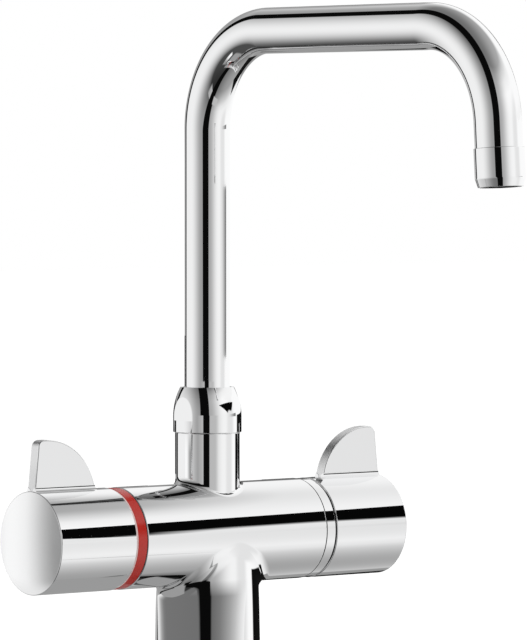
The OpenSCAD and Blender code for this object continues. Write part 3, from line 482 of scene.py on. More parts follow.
@dataclass
class BodyCasting:
    """The casting: a level bar on a tapering pillar, with a neck above and rounded junctions."""

    bar_r: float = 24.5
    bar_half: float = 55.0
    bar_z: float = 85.0
    pillar_foot_r: float = 26.0
    foot_z: float = 0.5
    neck_r: float = 15.6
    neck_top: float = 134.0
    spigot_r: float = 13.9
    spigot_top: float = 144.0
    neck_bore_r: float = 12.45
    neck_bore_z: float = 119.0
    neck_rounding: float = 3.5
    pillar_rounding: float = 7.0
    waist: float = 0.6
    waist_h: float = 38.0
    edge_r: float = 0.5
    pillar_inset: float = 0.4
    blend_turn: tuple[float, ...] = (0, 28, 54, 67, 80, 90)
    blend_top: tuple[float, ...] = (31, 27, 12, 1, -9, -14)
    blend_low: float = 58.0
    blend_rows: int = 120
    blend_reach: tuple[float, float] = (5.0, 75.0)
    blend_power: float = 0.4
    blend_ease: float = 10.0
    blend_lift: float = 1.0002
    halvings: int = 44
    core: float = 0.93
    core_step: int = 12
    neck_lap: float = 0.004
    cavity: tuple[tuple[float, float], ...] = ((0, -2), (16, -2), (16, -45), (18.5, -45),
                                               (18.5, -55))
    seat: tuple[tuple[float, float], ...] = ((14, 55), (14, 44), (12.1, 44), (12.1, 22), (0, 22))

    def pillar_r(self, h: Array) -> Array:
        """Radius of the tapering pillar, a little slimmer where it meets the bar.

        Args:
            h: Distance below the bar's axis.

        Returns:
            The radius at each distance.
        """
        share = np.clip(h / self.waist_h, 0, 1)
        waist = self.waist * (1 - share ** 2 * (3 - 2 * share))
        return self.bar_r + (self.pillar_foot_r - self.bar_r) * h / self.bar_z - waist

    def blend(self) -> Array:
        """The soft blend between the bar and the tapering pillar.

        With x along the bar and h below its axis, the squared half depth is A = bar radius
        squared less h squared for the bar, and B = pillar radius squared less x squared for
        the pillar. Where the two differ by less than K, the surface's squared half depth is
        the larger one plus K/4 times the square of 1 less their difference over K. K falls
        to nothing at the bar's axis and where both surfaces touch. Each ray from the
        crossing of the axes is halved until its end lies on that surface, and the grid is
        closed by a smaller copy of itself inside the metal.

        Returns:
            A grid whose rows go down and whose columns go round.
        """
        turn = np.arange(360)
        top = np.interp(np.abs((turn + 90) % 180 - 90), self.blend_turn, self.blend_top)
        down = np.linspace(0, 1, self.blend_rows)[:, None]
        beta = np.radians(top + (self.blend_low - top) * down)
        a = np.radians(turn)
        ways = np.stack([np.cos(a) * np.cos(beta), np.sin(a) * np.cos(beta), -np.sin(beta)],
                        axis=-1)
        most = 8 * self.bar_r * (1 - math.sqrt(0.5)) * self.pillar_rounding
        full = self.bar_r ** 2

        def inside(t: Array) -> Array:
            """How deep the end of each ray lies in the metal.

            Args:
                t: Length of each ray.

            Returns:
                A number above 0 in the metal and below 0 outside.
            """
            x, y, h = t * ways[..., 0], t * ways[..., 1], -t * ways[..., 2]
            leg = self.pillar_r(np.maximum(h, 0)) ** 2 - x ** 2
            leg = np.where(h > 0, leg, (self.bar_r - self.waist) ** 2 - x ** 2 - 3 * h ** 2)
            bar = full - h ** 2
            larger = np.maximum(bar, leg)
            below = np.clip(h / self.blend_ease, 0, 1)
            soft = (most * np.clip(1 - larger / full, 0, 1) ** self.blend_power
                    * below ** 2 * (3 - 2 * below))
            gain = np.clip(1 - np.abs(bar - leg) / np.maximum(soft, 1e-6), 0, 1)
            return larger + soft / 4 * gain ** 2 - y ** 2

        near, far = [np.full(beta.shape, reach) for reach in self.blend_reach]
        for _ in range(self.halvings):
            middle = (near + far) / 2
            held = inside(middle) > 0
            near, far = np.where(held, middle, near), np.where(held, far, middle)
        outer = near[..., None] * ways * self.blend_lift
        core = outer[::-self.core_step] * self.core
        return np.concatenate([outer, core]) + (0, 0, self.bar_z)

    def neck_foot(self) -> Array:
        """The rounding between bar and neck, as a ball rolled round the neck leaves it.

        At each angle the ball's centre is one neck radius plus one ball radius from the
        neck's axis, and one bar radius plus one ball radius from the bar's axis. The
        surface is the ball's short arc between its two touching points; a last column of
        points lies inside the metal and closes it.

        Returns:
            A grid with one row for each angle.
        """
        ball, neck = self.neck_rounding, self.neck_r
        a = np.linspace(0, 2 * math.pi, 240, endpoint=False)
        cos, sin = np.cos(a), np.sin(a)
        h = np.sqrt((self.bar_r + ball) ** 2 - ((neck + ball) * sin) ** 2)
        centre = np.stack([(neck + ball) * cos, (neck + ball) * sin, h], axis=-1)
        on_neck = np.stack([neck * cos, neck * sin, h], axis=-1)
        share = self.bar_r / (self.bar_r + ball)
        on_bar = centre * np.array([1, share, share])
        u, v = (on_neck - centre) / ball, (on_bar - centre) / ball
        opening = np.arccos(np.clip(np.sum(u * v, axis=-1), -1, 1))[:, None, None]
        t = np.concatenate([[0, 0.004], np.linspace(0.04, 0.96, 24), [0.996, 1]])[None, :, None]
        bow = np.sin((1 - t) * opening) * u[:, None] + np.sin(t * opening) * v[:, None]
        surface = centre[:, None] + (ball + self.neck_lap) * bow / np.sin(opening)
        middle = (on_neck + on_bar) / 2
        anchor = middle + (middle - centre) * 1.1
        return np.concatenate([surface, anchor[:, None]], axis=1) + (0, 0, self.bar_z)

    def build(self) -> None:
        """Makes the casting's chrome surfaces and its bores."""
        shell = Shell()
        ends = [(self.bar_r, -self.bar_half), (self.bar_r, self.bar_half)]
        outline = softened([*self.cavity, *ends, *self.seat],
                           [0, 0, 0, 0, 0, self.edge_r, self.edge_r, 0, 0, 0, 0, 0])
        shell.patch(turned(along_bar(self.bar_z), outline, 256))
        foot_r, waist_r = self.pillar_r(np.array([self.bar_z - self.foot_z, self.waist_h]))
        pillar = [(0, self.foot_z), (foot_r, self.foot_z), (waist_r, self.bar_z - self.waist_h),
                  (self.bar_r - self.waist - self.pillar_inset, self.bar_z), (0, self.bar_z)]
        shell.patch(turned(upright(), softened(pillar, [0, 0.3, 0, 0, 0]), 256))
        neck = [(0, self.bar_z), (self.neck_r, self.bar_z), (self.neck_r, self.neck_top),
                (self.spigot_r, self.neck_top), (self.spigot_r, self.spigot_top),
                (self.neck_bore_r, self.spigot_top), (self.neck_bore_r, self.neck_bore_z),
                (0, self.neck_bore_z)]
        shell.patch(turned(upright(), softened(neck, [0, 0, self.edge_r, 0, 0, 0, 0, 0])))
        shell.patch(self.neck_foot(), wrap_rows=True)
        shell.patch(self.blend(), wrap_rows=True)
        settle(shell, "body_casting", [CHROME], "mixer", "mixer_body")


@dataclass
class UnionNut:
    """The nut that holds the spout: a band, a bowed taper and two flats for a spanner."""

    foot_z: float = 134.0
    r: float = 16.5
    top_r: float = 13.0
    height: float = 21.8
    band: float = 7.5
    half_across: float = 15.0
    ledge: float = 5.8
    hole_r: float = 11.3
    bore_r: float = 14.0
    shoulder: float = 16.0
    bow_steps: int = 40
    flat_points: int = 25
    round_points: int = 58
    bore_rows: int = 14

    def build(self) -> None:
        """Makes the nut.

        Each row is a circle whose radius is cut to the flats' half distance divided by the
        cosine of the angle. Its points are shared out so that the same columns always lie
        on the border of a flat, where the cosine is that distance divided by the radius.
        """
        inset, rise = self.r - self.top_r, self.height - self.band
        bow_r = (inset ** 2 + rise ** 2) / (2 * inset)
        bow = arc((self.r - bow_r, self.band), bow_r, 0,
                  math.degrees(math.asin(rise / bow_r)), self.bow_steps)
        foot = softened([(self.bore_r, 0), (self.r, 0), (self.r, self.band)], [0, 0.35, 0])[:-1]
        plain = np.concatenate([foot, [(self.r, self.ledge)]])
        cut = np.concatenate([[(self.r, self.ledge + 1e-4), (self.r, self.ledge + 0.05)], bow])
        top = softened([cut[-1], (self.hole_r, self.height), (self.hole_r, self.shoulder)],
                       [0, 0.4, 0])[1:]
        inner = np.linspace((self.bore_r, self.shoulder), (self.bore_r, 0), self.bore_rows)
        outline = np.concatenate([plain, cut, top, inner])
        r, h = outline[:, 0], outline[:, 1]
        flat = np.zeros(len(r), bool)
        flat[len(plain):len(plain) + len(cut)] = True
        widest = math.acos(self.half_across / self.r)
        border = np.where(flat, np.arccos(np.minimum(self.half_across / r, 1)), 0.0)
        border[:len(plain)] = widest
        border[-len(inner):] = np.linspace(0, widest, len(inner))
        across = np.linspace(-1, 1, self.flat_points)
        round_ = np.linspace(0, 1, self.round_points + 2)[1:-1]
        first = border[:, None] * across
        between = border[:, None] + (math.pi - 2 * border[:, None]) * round_
        angle = np.concatenate([first, between, first + math.pi, between + math.pi], axis=1)
        limit = self.half_across / np.maximum(np.abs(np.cos(angle)), 1e-6)
        radius = np.where(flat[:, None], np.minimum(r[:, None], limit), r[:, None])
        height = np.repeat(h[:, None], angle.shape[1], axis=1)
        shell = Shell()
        shell.patch(upright(z=self.foot_z).place(radius, angle, height), wrap_rows=True)
        settle(shell, "union_nut", [CHROME], "mixer", "spout_nut")


@dataclass
class SpoutPipe:
    """The bent tube of the spout: riser, bend, level run, bend and a short leaning leg."""

    r: float = 11.0
    bore_r: float = 10.0
    foot_z: float = 147.3
    bend_z: float = 279.5
    bend_r: float = 47.0
    run: float = 116.6
    turn: float = 86.0
    leg: float = 11.8

    def route(self) -> tuple[Array, Array]:
        """Points and directions of the tube's middle line, in the plane across the bar.

        Straight pieces alternate with arcs of the bend radius, and each ring of points
        stands square to the direction of travel. The heading is 0 upwards, 90 forwards.

        Returns:
            The points and the unit directions, each as rows of y and z.
        """
        ends, last = np.array([0, GUARD]), 90 + self.turn
        up = np.concatenate([self.foot_z + ends, self.bend_z - ends[::-1]])
        out = -self.bend_r - np.concatenate([[GUARD], self.run - ends[::-1]])
        second = arc((-self.bend_r - self.run, self.bend_z), self.bend_r, 90, last, 57)
        heading = np.radians(np.concatenate([
            np.zeros(4), np.linspace(0, 90, 61)[1:], np.full(3, 90.0),
            np.linspace(90, last, 58)[1:], np.full(2, last)]))
        ways = np.stack([-np.sin(heading), np.cos(heading)], axis=-1)
        points = np.concatenate([
            np.stack([np.zeros(4), up], axis=-1),
            arc((-self.bend_r, self.bend_z), self.bend_r, 0, 90, 60)[1:],
            np.stack([out, np.full(3, self.bend_z + self.bend_r)], axis=-1),
            second[1:], second[-1] + np.array([[GUARD], [self.leg]]) * ways[-1]])
        return points, ways

    def ring(self, r: float, segments: int = 144) -> Array:
        """Rings carried along the route.

        Each point is the middle point plus r times the cosine of its angle along the bar's
        direction and r times the sine along the normal of the route.

        Args:
            r: Radius of the rings.
            segments: Number of points in each ring.

        Returns:
            A grid with one row for each ring.
        """
        points, ways = self.route()
        a = np.linspace(0, 2 * math.pi, segments, endpoint=False)
        x = np.broadcast_to(r * np.cos(a), (len(points), segments))
        y = points[:, :1] + r * np.sin(a) * ways[:, 1:]
        z = points[:, 1:] - r * np.sin(a) * ways[:, :1]
        return np.stack([x, y, z], axis=-1)

    def build(self) -> None:
        """Makes the tube with its wall."""
        shell = Shell()
        shell.patch(np.concatenate([self.ring(self.r), self.ring(self.bore_r)[::-1]]),
                    wrap_rows=True)
        settle(shell, "spout_pipe", [CHROME], "spout", "spout_tube")


@dataclass
class OutletTip:
    """The nozzle at the spout's end, a little wider than the tube, with a tapered lip."""

    lip: tuple[float, float, float] = (0.0, -212.5515, 253.2453)
    lean: float = 4.0
    r: float = 11.6
    lip_r: float = 10.4
    mouth_r: float = 9.6
    taper: float = 4.0
    length: float = 17.8
    plug_r: float = 9.9
    plug: float = 8.0
    bore_r: float = 7.8
    pocket_r: float = 9.2
    mouth: float = 5.0
    pocket: float = 12.5

    def build(self) -> None:
        """Makes the nozzle with its mouth, pocket and plug."""
        lean = math.radians(self.lean)
        axis = Axis(self.lip, (0, math.sin(lean), math.cos(lean)), (1, 0, 0))
        corners = [(self.mouth_r, self.mouth), (self.mouth_r, 0), (self.lip_r, 0),
                   (self.r, self.taper), (self.r, self.length), (self.plug_r, self.length),
                   (self.plug_r, self.length + self.plug), (self.bore_r, self.length + self.plug),
                   (self.bore_r, self.pocket), (self.pocket_r, self.pocket),
                   (self.pocket_r, self.mouth), (self.mouth_r, self.mouth)]
        outline = softened(corners, [0, 0.15, 0.25, 3.0, 0.3, 0, 0, 0, 0, 0, 0, 0], 10)
        shell = Shell()
        shell.patch(turned(axis, outline, 160))
        settle(shell, "outlet_tip", [CHROME], "spout", "outlet_nozzle")


class Side(Enum):
    """Which end of the bar a piece sits on."""

    LEFT = -1
    RIGHT = 1


@dataclass
class TurnLever:
    """A round handle with a low domed end and an upright fin."""

    side: Side
    name: str
    body: str
    node: str
    r: float = 24.5
    bore_r: float = 22.0
    bar_z: float = 85.0
    start: float = 61.6
    end: float = 106.5
    floor: float = 102.5
    boss_r: float = 8.0
    boss_start: float = 66.5
    socket_r: float = 4.05
    socket_end: float = 96.5
    dome: float = 0.6
    fin_t: float = 6.0
    fin_top: float = 48.5
    fin_curve: float = 28.5
    fin_peak: float = 8.0
    fin_corner: float = 3.5
    fin_lean: float = 6.0
    fin_foot: float = 2.5
    fin_edge: float = 0.5
    fin_inset: float = 0.3
    fin_root: float = 16.0
    fin_heel: float = 14.0
    fin_lap: float = 0.35
    dome_rim: float = 0.9
    strip_row: int = 9

    def fin_outline(self) -> Array:
        """The fin's side outline, closed inside the handle.

        It goes up the leaning outer edge, round a corner, and down an arc to the handle.

        Returns:
            Rows of distance inwards from the handle's end and height above its axis.
        """
        inset = self.dome + self.fin_inset
        lean = math.tan(math.radians(self.fin_lean))
        corner = (inset + self.fin_corner + (self.fin_top - self.fin_corner - self.r) * lean,
                  self.fin_top - self.fin_corner)
        peak = (self.fin_peak, self.fin_top - self.fin_curve)
        foot = (self.fin_peak + self.fin_curve, self.fin_root)
        return np.concatenate([
            np.linspace((inset, self.fin_root), (inset, self.r - GUARD), 4),
            arc(corner, self.fin_corner, 180, 92, 14), arc(peak, self.fin_curve, 89, 0, 60),
            np.linspace(foot, (self.fin_heel, self.fin_root), 6)])

    def fin_grid(self) -> Array:
        """The fin as a plate whose edge is rounded on both sides.

        The outline is repeated at steps across the plate, drawn in along its own normal by
        the rounding's depth at that step; a middle point closes each face.

        Returns:
            A grid with one row for each step.
        """
        line = self.fin_outline()
        way = np.roll(line, -1, axis=0) - np.roll(line, 1, axis=0)
        way /= np.linalg.norm(way, axis=1)[:, None]
        inward = np.stack([way[:, 1], -way[:, 0]], axis=-1)
        half, rho = self.fin_t / 2, self.fin_edge
        a = np.radians(np.linspace(90, 0, 7))
        depth = np.concatenate([[rho + GUARD], rho - rho * np.cos(a), [0]])
        out = np.concatenate([[half], half - rho + rho * np.sin(a), [half - rho - GUARD]])
        depth = np.concatenate([depth, depth[::-1]])
        out = np.concatenate([out, -out[::-1]])
        rim = line[None] + depth[:, None, None] * inward[None]
        middle = np.repeat(line.mean(0)[None, None], len(line), axis=1)
        rim = np.concatenate([middle, rim, middle])
        out = np.concatenate([[half], out, [-half]])
        y = np.broadcast_to(out[:, None], rim.shape[:2])
        return np.stack([self.end - rim[..., 0], y, self.bar_z + rim[..., 1]], axis=-1)

    def foot_grid(self, way: int) -> Array:
        """The rounding between one face of the fin and the round handle.

        A ball touches the fin's face and the handle, so its centre is at half the fin's
        thickness plus its own radius across, and at one handle radius plus its own radius
        from the axis; its arc is carried along the fin. Three points in the metal close it.

        Args:
            way: 1 or -1 for the two faces.

        Returns:
            A grid with one row at each end of the fin and the arc's points along it.
        """
        ball = self.fin_foot
        y = self.fin_t / 2 + ball
        z = math.sqrt((self.r + ball) ** 2 - y ** 2)
        lean = math.degrees(math.atan2(y, z))
        t = np.concatenate([[0, 0.01], np.linspace(0.06, 0.94, 14), [0.99, 1]])
        a = np.radians(270 - lean + (lean - 90) * t)
        line = np.stack([y + ball * np.cos(a), z + ball * np.sin(a)], axis=-1)
        line = np.concatenate([line, [(1.0, z - 1.0), (1.0, self.r - 4), (y - 1.2, self.r - 4)]])
        ends = np.array([self.end - self.dome - self.fin_inset,
                         self.end - self.fin_peak - self.fin_curve + self.fin_lap])
        x = np.broadcast_to(ends[:, None], (2, len(line)))
        grid = np.stack([x, np.broadcast_to(way * line[:, 0], x.shape),
                         np.broadcast_to(self.bar_z + line[:, 1], x.shape)], axis=-1)
        caps = np.repeat(grid[:, -2:-1], len(line), axis=1)
        return np.concatenate([caps[:1], grid, caps[-1:]])

    def round_grid(self) -> tuple[Array, int]:
        """The handle's round part with its hollow and its socket.

        Returns:
            The turned grid and the row where the domed end starts.
        """
        dome_r = (self.r ** 2 + self.dome ** 2) / (2 * self.dome)
        far = np.linspace(self.r - self.dome_rim, 0, 40)
        dome = np.stack([far, self.end - dome_r + np.sqrt(dome_r ** 2 - far ** 2)], axis=-1)
        corners = [(0, self.socket_end), (self.socket_r, self.socket_end),
                   (self.socket_r, self.boss_start), (self.boss_r, self.boss_start),
                   (self.boss_r, self.floor), (self.bore_r, self.floor),
                   (self.bore_r, self.start), (self.r, self.start),
                   (self.r, self.end - self.dome), tuple(dome[0])]
        outline = softened(corners, [0, 0, 0, 0, 0, 0, 0.2, 0.35, 0.45, 0])
        first_dome = len(outline) - 2
        outline = np.concatenate([outline, dome[1:]])
        return turned(along_bar(self.bar_z), outline, 256), first_dome

    def build(self) -> None:
        """Makes the handle on its side of the bar, with a brushed strip along the fin."""
        shell = Shell()
        body, first_dome = self.round_grid()
        mirror = np.array([self.side.value, 1, 1])
        shell.patch(body * mirror, second_from=first_dome)
        shell.patch(self.fin_grid() * mirror)
        columns = len(self.fin_outline())
        strip = np.arange(len(shell.slots[-1])) // columns == self.strip_row
        shell.slots[-1][strip] = 2
        for way in (1, -1):
            shell.patch(self.foot_grid(way) * mirror)
        settle(shell, self.name, [CHROME, SATIN, BRUSHED], self.body, self.node)


@dataclass
class BandRing:
    """The narrow ring between the bar and a handle, bevelled there, with a seam groove painted
    dark as shade.
    """

    side: Side
    name: str
    node: str
    body: str
    slot: str
    finish: Finish
    bore_r: float = 17.5
    r: float = 24.3
    bar_z: float = 85.0
    start: float = 55.0
    width: float = 6.3
    bevel: float = 0.9
    seam: float = 0.4
    seam_depth: float = 0.8
    seam_rows: int = 5

    def build(self) -> None:
        """Makes the ring, whose last rows are the seam groove, painted dark as shade."""
        far = self.start + self.width
        floor_r, lip = self.r - self.seam_depth, self.start + self.seam
        corners = [(self.r, lip), (self.r, far - self.bevel), (self.r - self.bevel, far),
                   (self.bore_r, far), (self.bore_r, self.start), (floor_r, self.start),
                   (floor_r, lip), (self.r, lip)]
        outline = softened(corners, [0, 0.15, 0.1, 0, 0, 0, 0, 0])
        grid = turned(along_bar(self.bar_z), outline, 256)
        shell = Shell()
        shell.patch(grid * np.array([self.side.value, 1, 1]),
                    second_from=len(outline) - self.seam_rows)
        settle(shell, self.name, [self.finish, SEAM_SHADE], self.body, self.node)


@dataclass
class ThreadedStud:
    """The fixing stud with its rolled thread."""

    y: float = -12.5
    r: float = 4.0
    depth: float = 0.55
    pitch: float = 1.25
    low: float = -51.0
    high: float = 15.0
    chamfer: float = 0.6
    segments: int = 48
    steps: int = 8

    def build(self) -> None:
        """Makes the stud.

        The radius at a height and an angle falls from the crest by the thread's depth times
        a triangle wave of height over pitch less angle over a full turn, and both ends run
        down to a plain chamfer.
        """
        rows = int((self.high - self.low) / self.pitch * self.steps) + 1
        h = np.linspace(self.low, self.high, rows)
        a = np.linspace(0, 2 * math.pi, self.segments, endpoint=False)
        h2, a2 = np.meshgrid(h, a, indexing="ij")
        wave = np.abs(((h2 / self.pitch - a2 / (2 * math.pi)) % 1) - 0.5) * 2
        tip = np.minimum(np.minimum(h2 - self.low, self.high - h2), self.chamfer)
        r = np.minimum(self.r - self.depth * wave, self.r - self.depth + tip)
        grid = upright(self.y).place(r, a2, h2)
        ends = [np.repeat([[[0, self.y, z]]], self.segments, axis=1)
                for z in (self.low, self.high)]
        shell = Shell()
        shell.patch(np.concatenate([ends[0], grid, ends[1]]))
        settle(shell, "threaded_stud", [STEEL], "mixer", "fixing_stud", sharp=50)


class CarriedSolids:
    """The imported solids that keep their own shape, each with the finish of its slot."""

    def dress(self) -> None:
        """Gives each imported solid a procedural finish."""
        parts = frame["record"]["subparts"]
        for part in parts:
            solid = frame["nodes"][part["node"]]
            if not solid.material_slots:
                solid.data.materials.append(None)
            for place in solid.material_slots:
                place.material = SLOT_FINISH[part["material_slot"]].material()
        log.info("%d solids keep their shape or stand behind a piece", len(parts))


# Studio

def sheet(name: str, grid: Array) -> bpy.types.Object:
    """An open surface from one grid, with a map that runs from 0 to 1 along and across.

    Args:
        name: Name of the object.
        grid: The points by row and column, in millimetres.

    Returns:
        The object, at the origin.
    """
    rows, cols = grid.shape[:2]
    mesh = bpy.data.meshes.new(name)
    quads = grid_quads(rows, cols, False, False)
    mesh.from_pydata((grid.reshape(-1, 3) * MM).tolist(), [], quads.tolist())
    v, u = np.meshgrid(np.linspace(0, 1, rows), np.linspace(0, 1, cols), indexing="ij")
    chart = np.stack([u.ravel(), v.ravel()], axis=-1)[quads.ravel()]
    mesh.uv_layers.new(name=CHART).data.foreach_set("uv", chart.ravel())
    return placed(name, mesh)


@dataclass(frozen=True)
class Card:
    """A card of the studio that shows only in reflections.

    Its greys and covers run along the columns of its grid, and its edges along the rows.
    """

    name: str
    grid: Array
    greys: Stops
    covers: Stops = ((0.0, 1.0), (1.0, 1.0))
    edges: Stops = ((0.0, 1.0), (1.0, 1.0))
    one_sided: bool = False

    def build(self) -> None:
        """Makes the card, its glow and how much of it shows."""
        card = sheet(self.name, self.grid)
        made = bpy.data.materials.new(self.name)
        sketch = NodeSketch(made)
        chart = sketch.add("ShaderNodeUVMap", uv_map=CHART).outputs[0]
        along, across, _ = sketch.add("ShaderNodeSeparateXYZ", {0: chart}).outputs
        light = sketch.add("ShaderNodeEmission", {0: sketch.ramp(along, self.greys)})
        cover = sketch.times(sketch.ramp(along, self.covers), sketch.ramp(across, self.edges))
        if self.one_sided:
            behind = sketch.add("ShaderNodeNewGeometry").outputs["Backfacing"]
            cover = sketch.times(cover, sketch.minus(1.0, behind))
        clear = sketch.add("ShaderNodeBsdfTransparent")
        mix = sketch.add("ShaderNodeMixShader",
                         {0: cover, 1: clear.outputs[0], 2: light.outputs[0]})
        sketch.add("ShaderNodeOutputMaterial", {0: mix.outputs[0]})
        card.data.materials.append(made)
        card.visible_camera = card.visible_diffuse = card.visible_shadow = False
        card.visible_transmission = card.visible_volume_scatter = False


def standing(r: float, start: float, stop: float, low: float, high: float,
             cols: int = 24, high_r: float | None = None) -> Array:
    """A card bent round the pillar, upright or, where its edges' distances differ, flared.

    A point at azimuth a lies at r times the sine of a to the right and r times the cosine
    of a towards the front.

    Args:
        r: Distance from the pillar's axis in millimetres.
        start: First azimuth in degrees, 0 at the front and growing to the right.
        stop: Last azimuth.
        low: Height of the first edge.
        high: Height of the second edge.
        cols: Number of points along the card.
        high_r: Distance of the second edge, if another.

    Returns:
        Two rows of points.
    """
    a = np.radians(np.linspace(start, stop, cols))
    out = np.stack([np.sin(a), -np.cos(a), np.zeros(cols)], axis=-1)
    return np.stack([r * out + (0, 0, low), (high_r or r) * out + (0, 0, high)])


def flat(start: Sequence[float], stop: Sequence[float], shift: Sequence[float]) -> Array:
    """A flat card from the edge between two points to the same edge moved by a shift."""
    edge = np.linspace(start, stop, 12)
    return np.stack([edge, edge + np.asarray(shift)])


def even(level: float) -> Stops:
    """The same level all along."""
    return ((0, level), (1, level))


def faded(start: float, stop: float) -> Stops:
    """Full between two places, and falling to nothing at both ends."""
    return ((0, 0), (start, 1), (stop, 1), (1, 0))


def spread(stops: Sequence[tuple[float, float]]) -> Stops:
    """Stops given by azimuth, rescaled to run from 0 to 1."""
    first, last = stops[0][0], stops[-1][0]
    return tuple(((a - first) / (last - first), level) for a, level in stops)


@dataclass
class Studio:
    """Soft light, a pale floor, a bright round screen in a dark surround, and grey cards."""

    floor_z: float = -51.5
    floor_half: float = 9000.0
    plain_level: float = 0.62
    lamp_power: float = 16.0
    screen_azimuth: float = -115.0
    screen_half: float = 53.0
    dark_azimuth: float = -107.0
    dark_half: float = 75.0
    screen_sag: float = 0.36
    dark_sag: float = 0.2
    rim: float = 0.012
    screen_fall: float = 1.86
    fall_ease: float = 0.66
    black: float = 0.003
    floor_lift: float = 0.52
    floor_points: int = 9
    lamp_aim: tuple[float, float, float] = (0, 0, 0.12)
    far_r: float = 3000.0

    def surround(self, sketch: NodeSketch) -> bpy.types.NodeSocket:
        """What polished metal mirrors in each direction.

        Dot products with fixed level directions give the round screen, the dark surround
        and the pale wall on the right. The screen's light falls off by screen_fall times
        the squared height less fall_ease times its cube.

        Args:
            sketch: The world's nodes.

        Returns:
            A grey level.
        """
        way = sketch.add("ShaderNodeTexCoord").outputs["Generated"]
        _, back, high = sketch.add("ShaderNodeSeparateXYZ", {0: way}).outputs
        below = sketch.math("MAXIMUM", sketch.times(high, -1.0), 0.0)

        def near(azimuth: float) -> bpy.types.NodeSocket:
            """How close the direction is to a level one, as a cosine."""
            a = math.radians(azimuth)
            return sketch.add("ShaderNodeVectorMath", {
                0: way, 1: (math.sin(a), -math.cos(a), 0)},
                operation="DOT_PRODUCT").outputs["Value"]

        def within(azimuth: float, half: float, sag: float) -> bpy.types.NodeSocket:
            """Where a direction lies in a round field that sags downwards.

            Args:
                azimuth: The field's middle in degrees.
                half: Its half width in degrees.
                sag: How far it reaches downwards.

            Returns:
                1 inside and 0 outside, with a soft rim.
            """
            edge = math.cos(math.radians(half))
            close = sketch.math("ADD", near(azimuth), sketch.times(below, sag))
            return sketch.ranged(close, edge - self.rim, edge + self.rim, 0, 1)

        fall = sketch.times(sketch.times(high, high),
                            sketch.minus(self.screen_fall, sketch.times(high, self.fall_ease)))
        screen = sketch.times(sketch.ranged(back, -0.45, 0.62, 0.33, 0.90),
                              sketch.math("MAXIMUM", sketch.minus(1.0, fall), 0.08))
        wall = sketch.minus(sketch.ranged(near(self.dark_azimuth), 0.21, -0.62, 0.40, 0.92),
                            sketch.ranged(near(52), 0.90, 0.985, 0, 0.13))
        upper = sketch.ramp(sketch.math("MAXIMUM", high, 0.0),
                            [(0, 0.93), (0.45, 1), (0.6, 0.88), (0.7, 0.66), (0.777, 0.42),
                             (1, 0.36)])
        wall = sketch.times(wall, sketch.times(upper, 1.08))
        pale = sketch.times(sketch.ranged(near(105), 0.60, 0.80, 0, 1),
                            sketch.ranged(high, -0.5, -0.1, 0, 1))
        lower = sketch.ramp(sketch.ranged(high, -0.80, 0.0, 0, 1, smooth=False),
                            [(0, 0.38), (0.03, 0.41), (0.125, 0.53), (0.25, 0.69), (0.36, 0.88),
                             (0.49, 0.97), (0.75, 1), (1, 1)])
        wall = sketch.times(sketch.blend(pale, wall, 1.0), lower)
        dark = sketch.blend(within(self.screen_azimuth, self.screen_half, self.screen_sag),
                            self.black, screen)
        return sketch.blend(within(self.dark_azimuth, self.dark_half, self.dark_sag), wall, dark)

    def world(self) -> None:
        """White to the camera, the surround to polished metal, a plain level to the rest."""
        world = bpy.data.worlds.new("studio")
        sketch = NodeSketch(world)
        path = sketch.add("ShaderNodeLightPath").outputs
        shown = sketch.blend(path["Is Glossy Ray"], self.plain_level, self.surround(sketch))
        shown = sketch.blend(path["Is Camera Ray"], shown, 1.0)
        sky = sketch.add("ShaderNodeBackground", {0: (1, 1, 1, 1), 1: shown})
        sketch.add("ShaderNodeOutputWorld", {0: sky.outputs[0]})
        world.cycles.sampling_method = "NONE"
        bpy.context.scene.world = world

    def floor(self) -> None:
        """A pale floor that stays white to the camera and keeps the shadow."""
        line = np.linspace(-self.floor_half, self.floor_half, self.floor_points)
        x, y = np.meshgrid(line, line, indexing="xy")
        floor = sheet("floor", np.stack([x, y, np.full_like(x, self.floor_z)], axis=-1))
        made = bpy.data.materials.new("pale_floor")
        sketch = NodeSketch(made)
        place = sketch.add("ShaderNodeTexCoord").outputs["Object"]
        mottle = sketch.add("ShaderNodeTexNoise", {"Vector": place, "Scale": 3.0}).outputs[0]
        matt = sketch.add("ShaderNodeBsdfDiffuse", {
            0: sketch.colours(mottle, (0.79, 0.79, 0.79), (0.81, 0.81, 0.81))})
        seen = sketch.add("ShaderNodeLightPath").outputs["Is Camera Ray"]
        lift = sketch.add("ShaderNodeEmission", {1: sketch.times(seen, self.floor_lift)})
        both = sketch.add("ShaderNodeAddShader", {0: matt.outputs[0], 1: lift.outputs[0]})
        sketch.add("ShaderNodeOutputMaterial", {0: both.outputs[0]})
        floor.data.materials.append(made)
        floor.visible_glossy = False

    def lamps(self) -> None:
        """One broad soft lamp above the left front, and a weaker one on the right."""
        for name, place, size, share in (("key", (-1.1, -1.3, 1.9), 1.4, 1.0),
                                         ("fill", (1.6, -0.8, 1.5), 1.8, 0.55)):
            lamp = bpy.data.lights.new(name, "AREA")
            lamp.size = size
            lamp.energy = self.lamp_power * share
            holder = placed(name, lamp)
            holder.location = place
            aim = Vector(self.lamp_aim) - Vector(place)
            holder.rotation_euler = aim.to_track_quat("-Z", "Y").to_euler()
            holder.visible_glossy = False

    def overhead(self) -> Array:
        """The dark panel above the front right, whose far edge slants.

        Points are given by how far out they lie towards azimuth 42 and how far across.

        Returns:
            Two rows of points, the near edge first.
        """
        ahead = np.array([0.669, -0.743, 0.0])
        across = np.array([0.743, 0.669, 0.0])
        aside = np.array([-165, -124, -75, -30, 12, 60, 118, 160.0])
        far = np.array([1700, 1400, 990, 870, 850, 940, 1070, 1120.0])
        close = np.where(aside < 0, 1.1, 0.75) * aside
        rows = [reach[:, None] * ahead + place[:, None] * across + (0, 0, 235)
                for reach, place in ((280.5 + 0.342 * close, close), (far, aside))]
        return np.stack(rows)

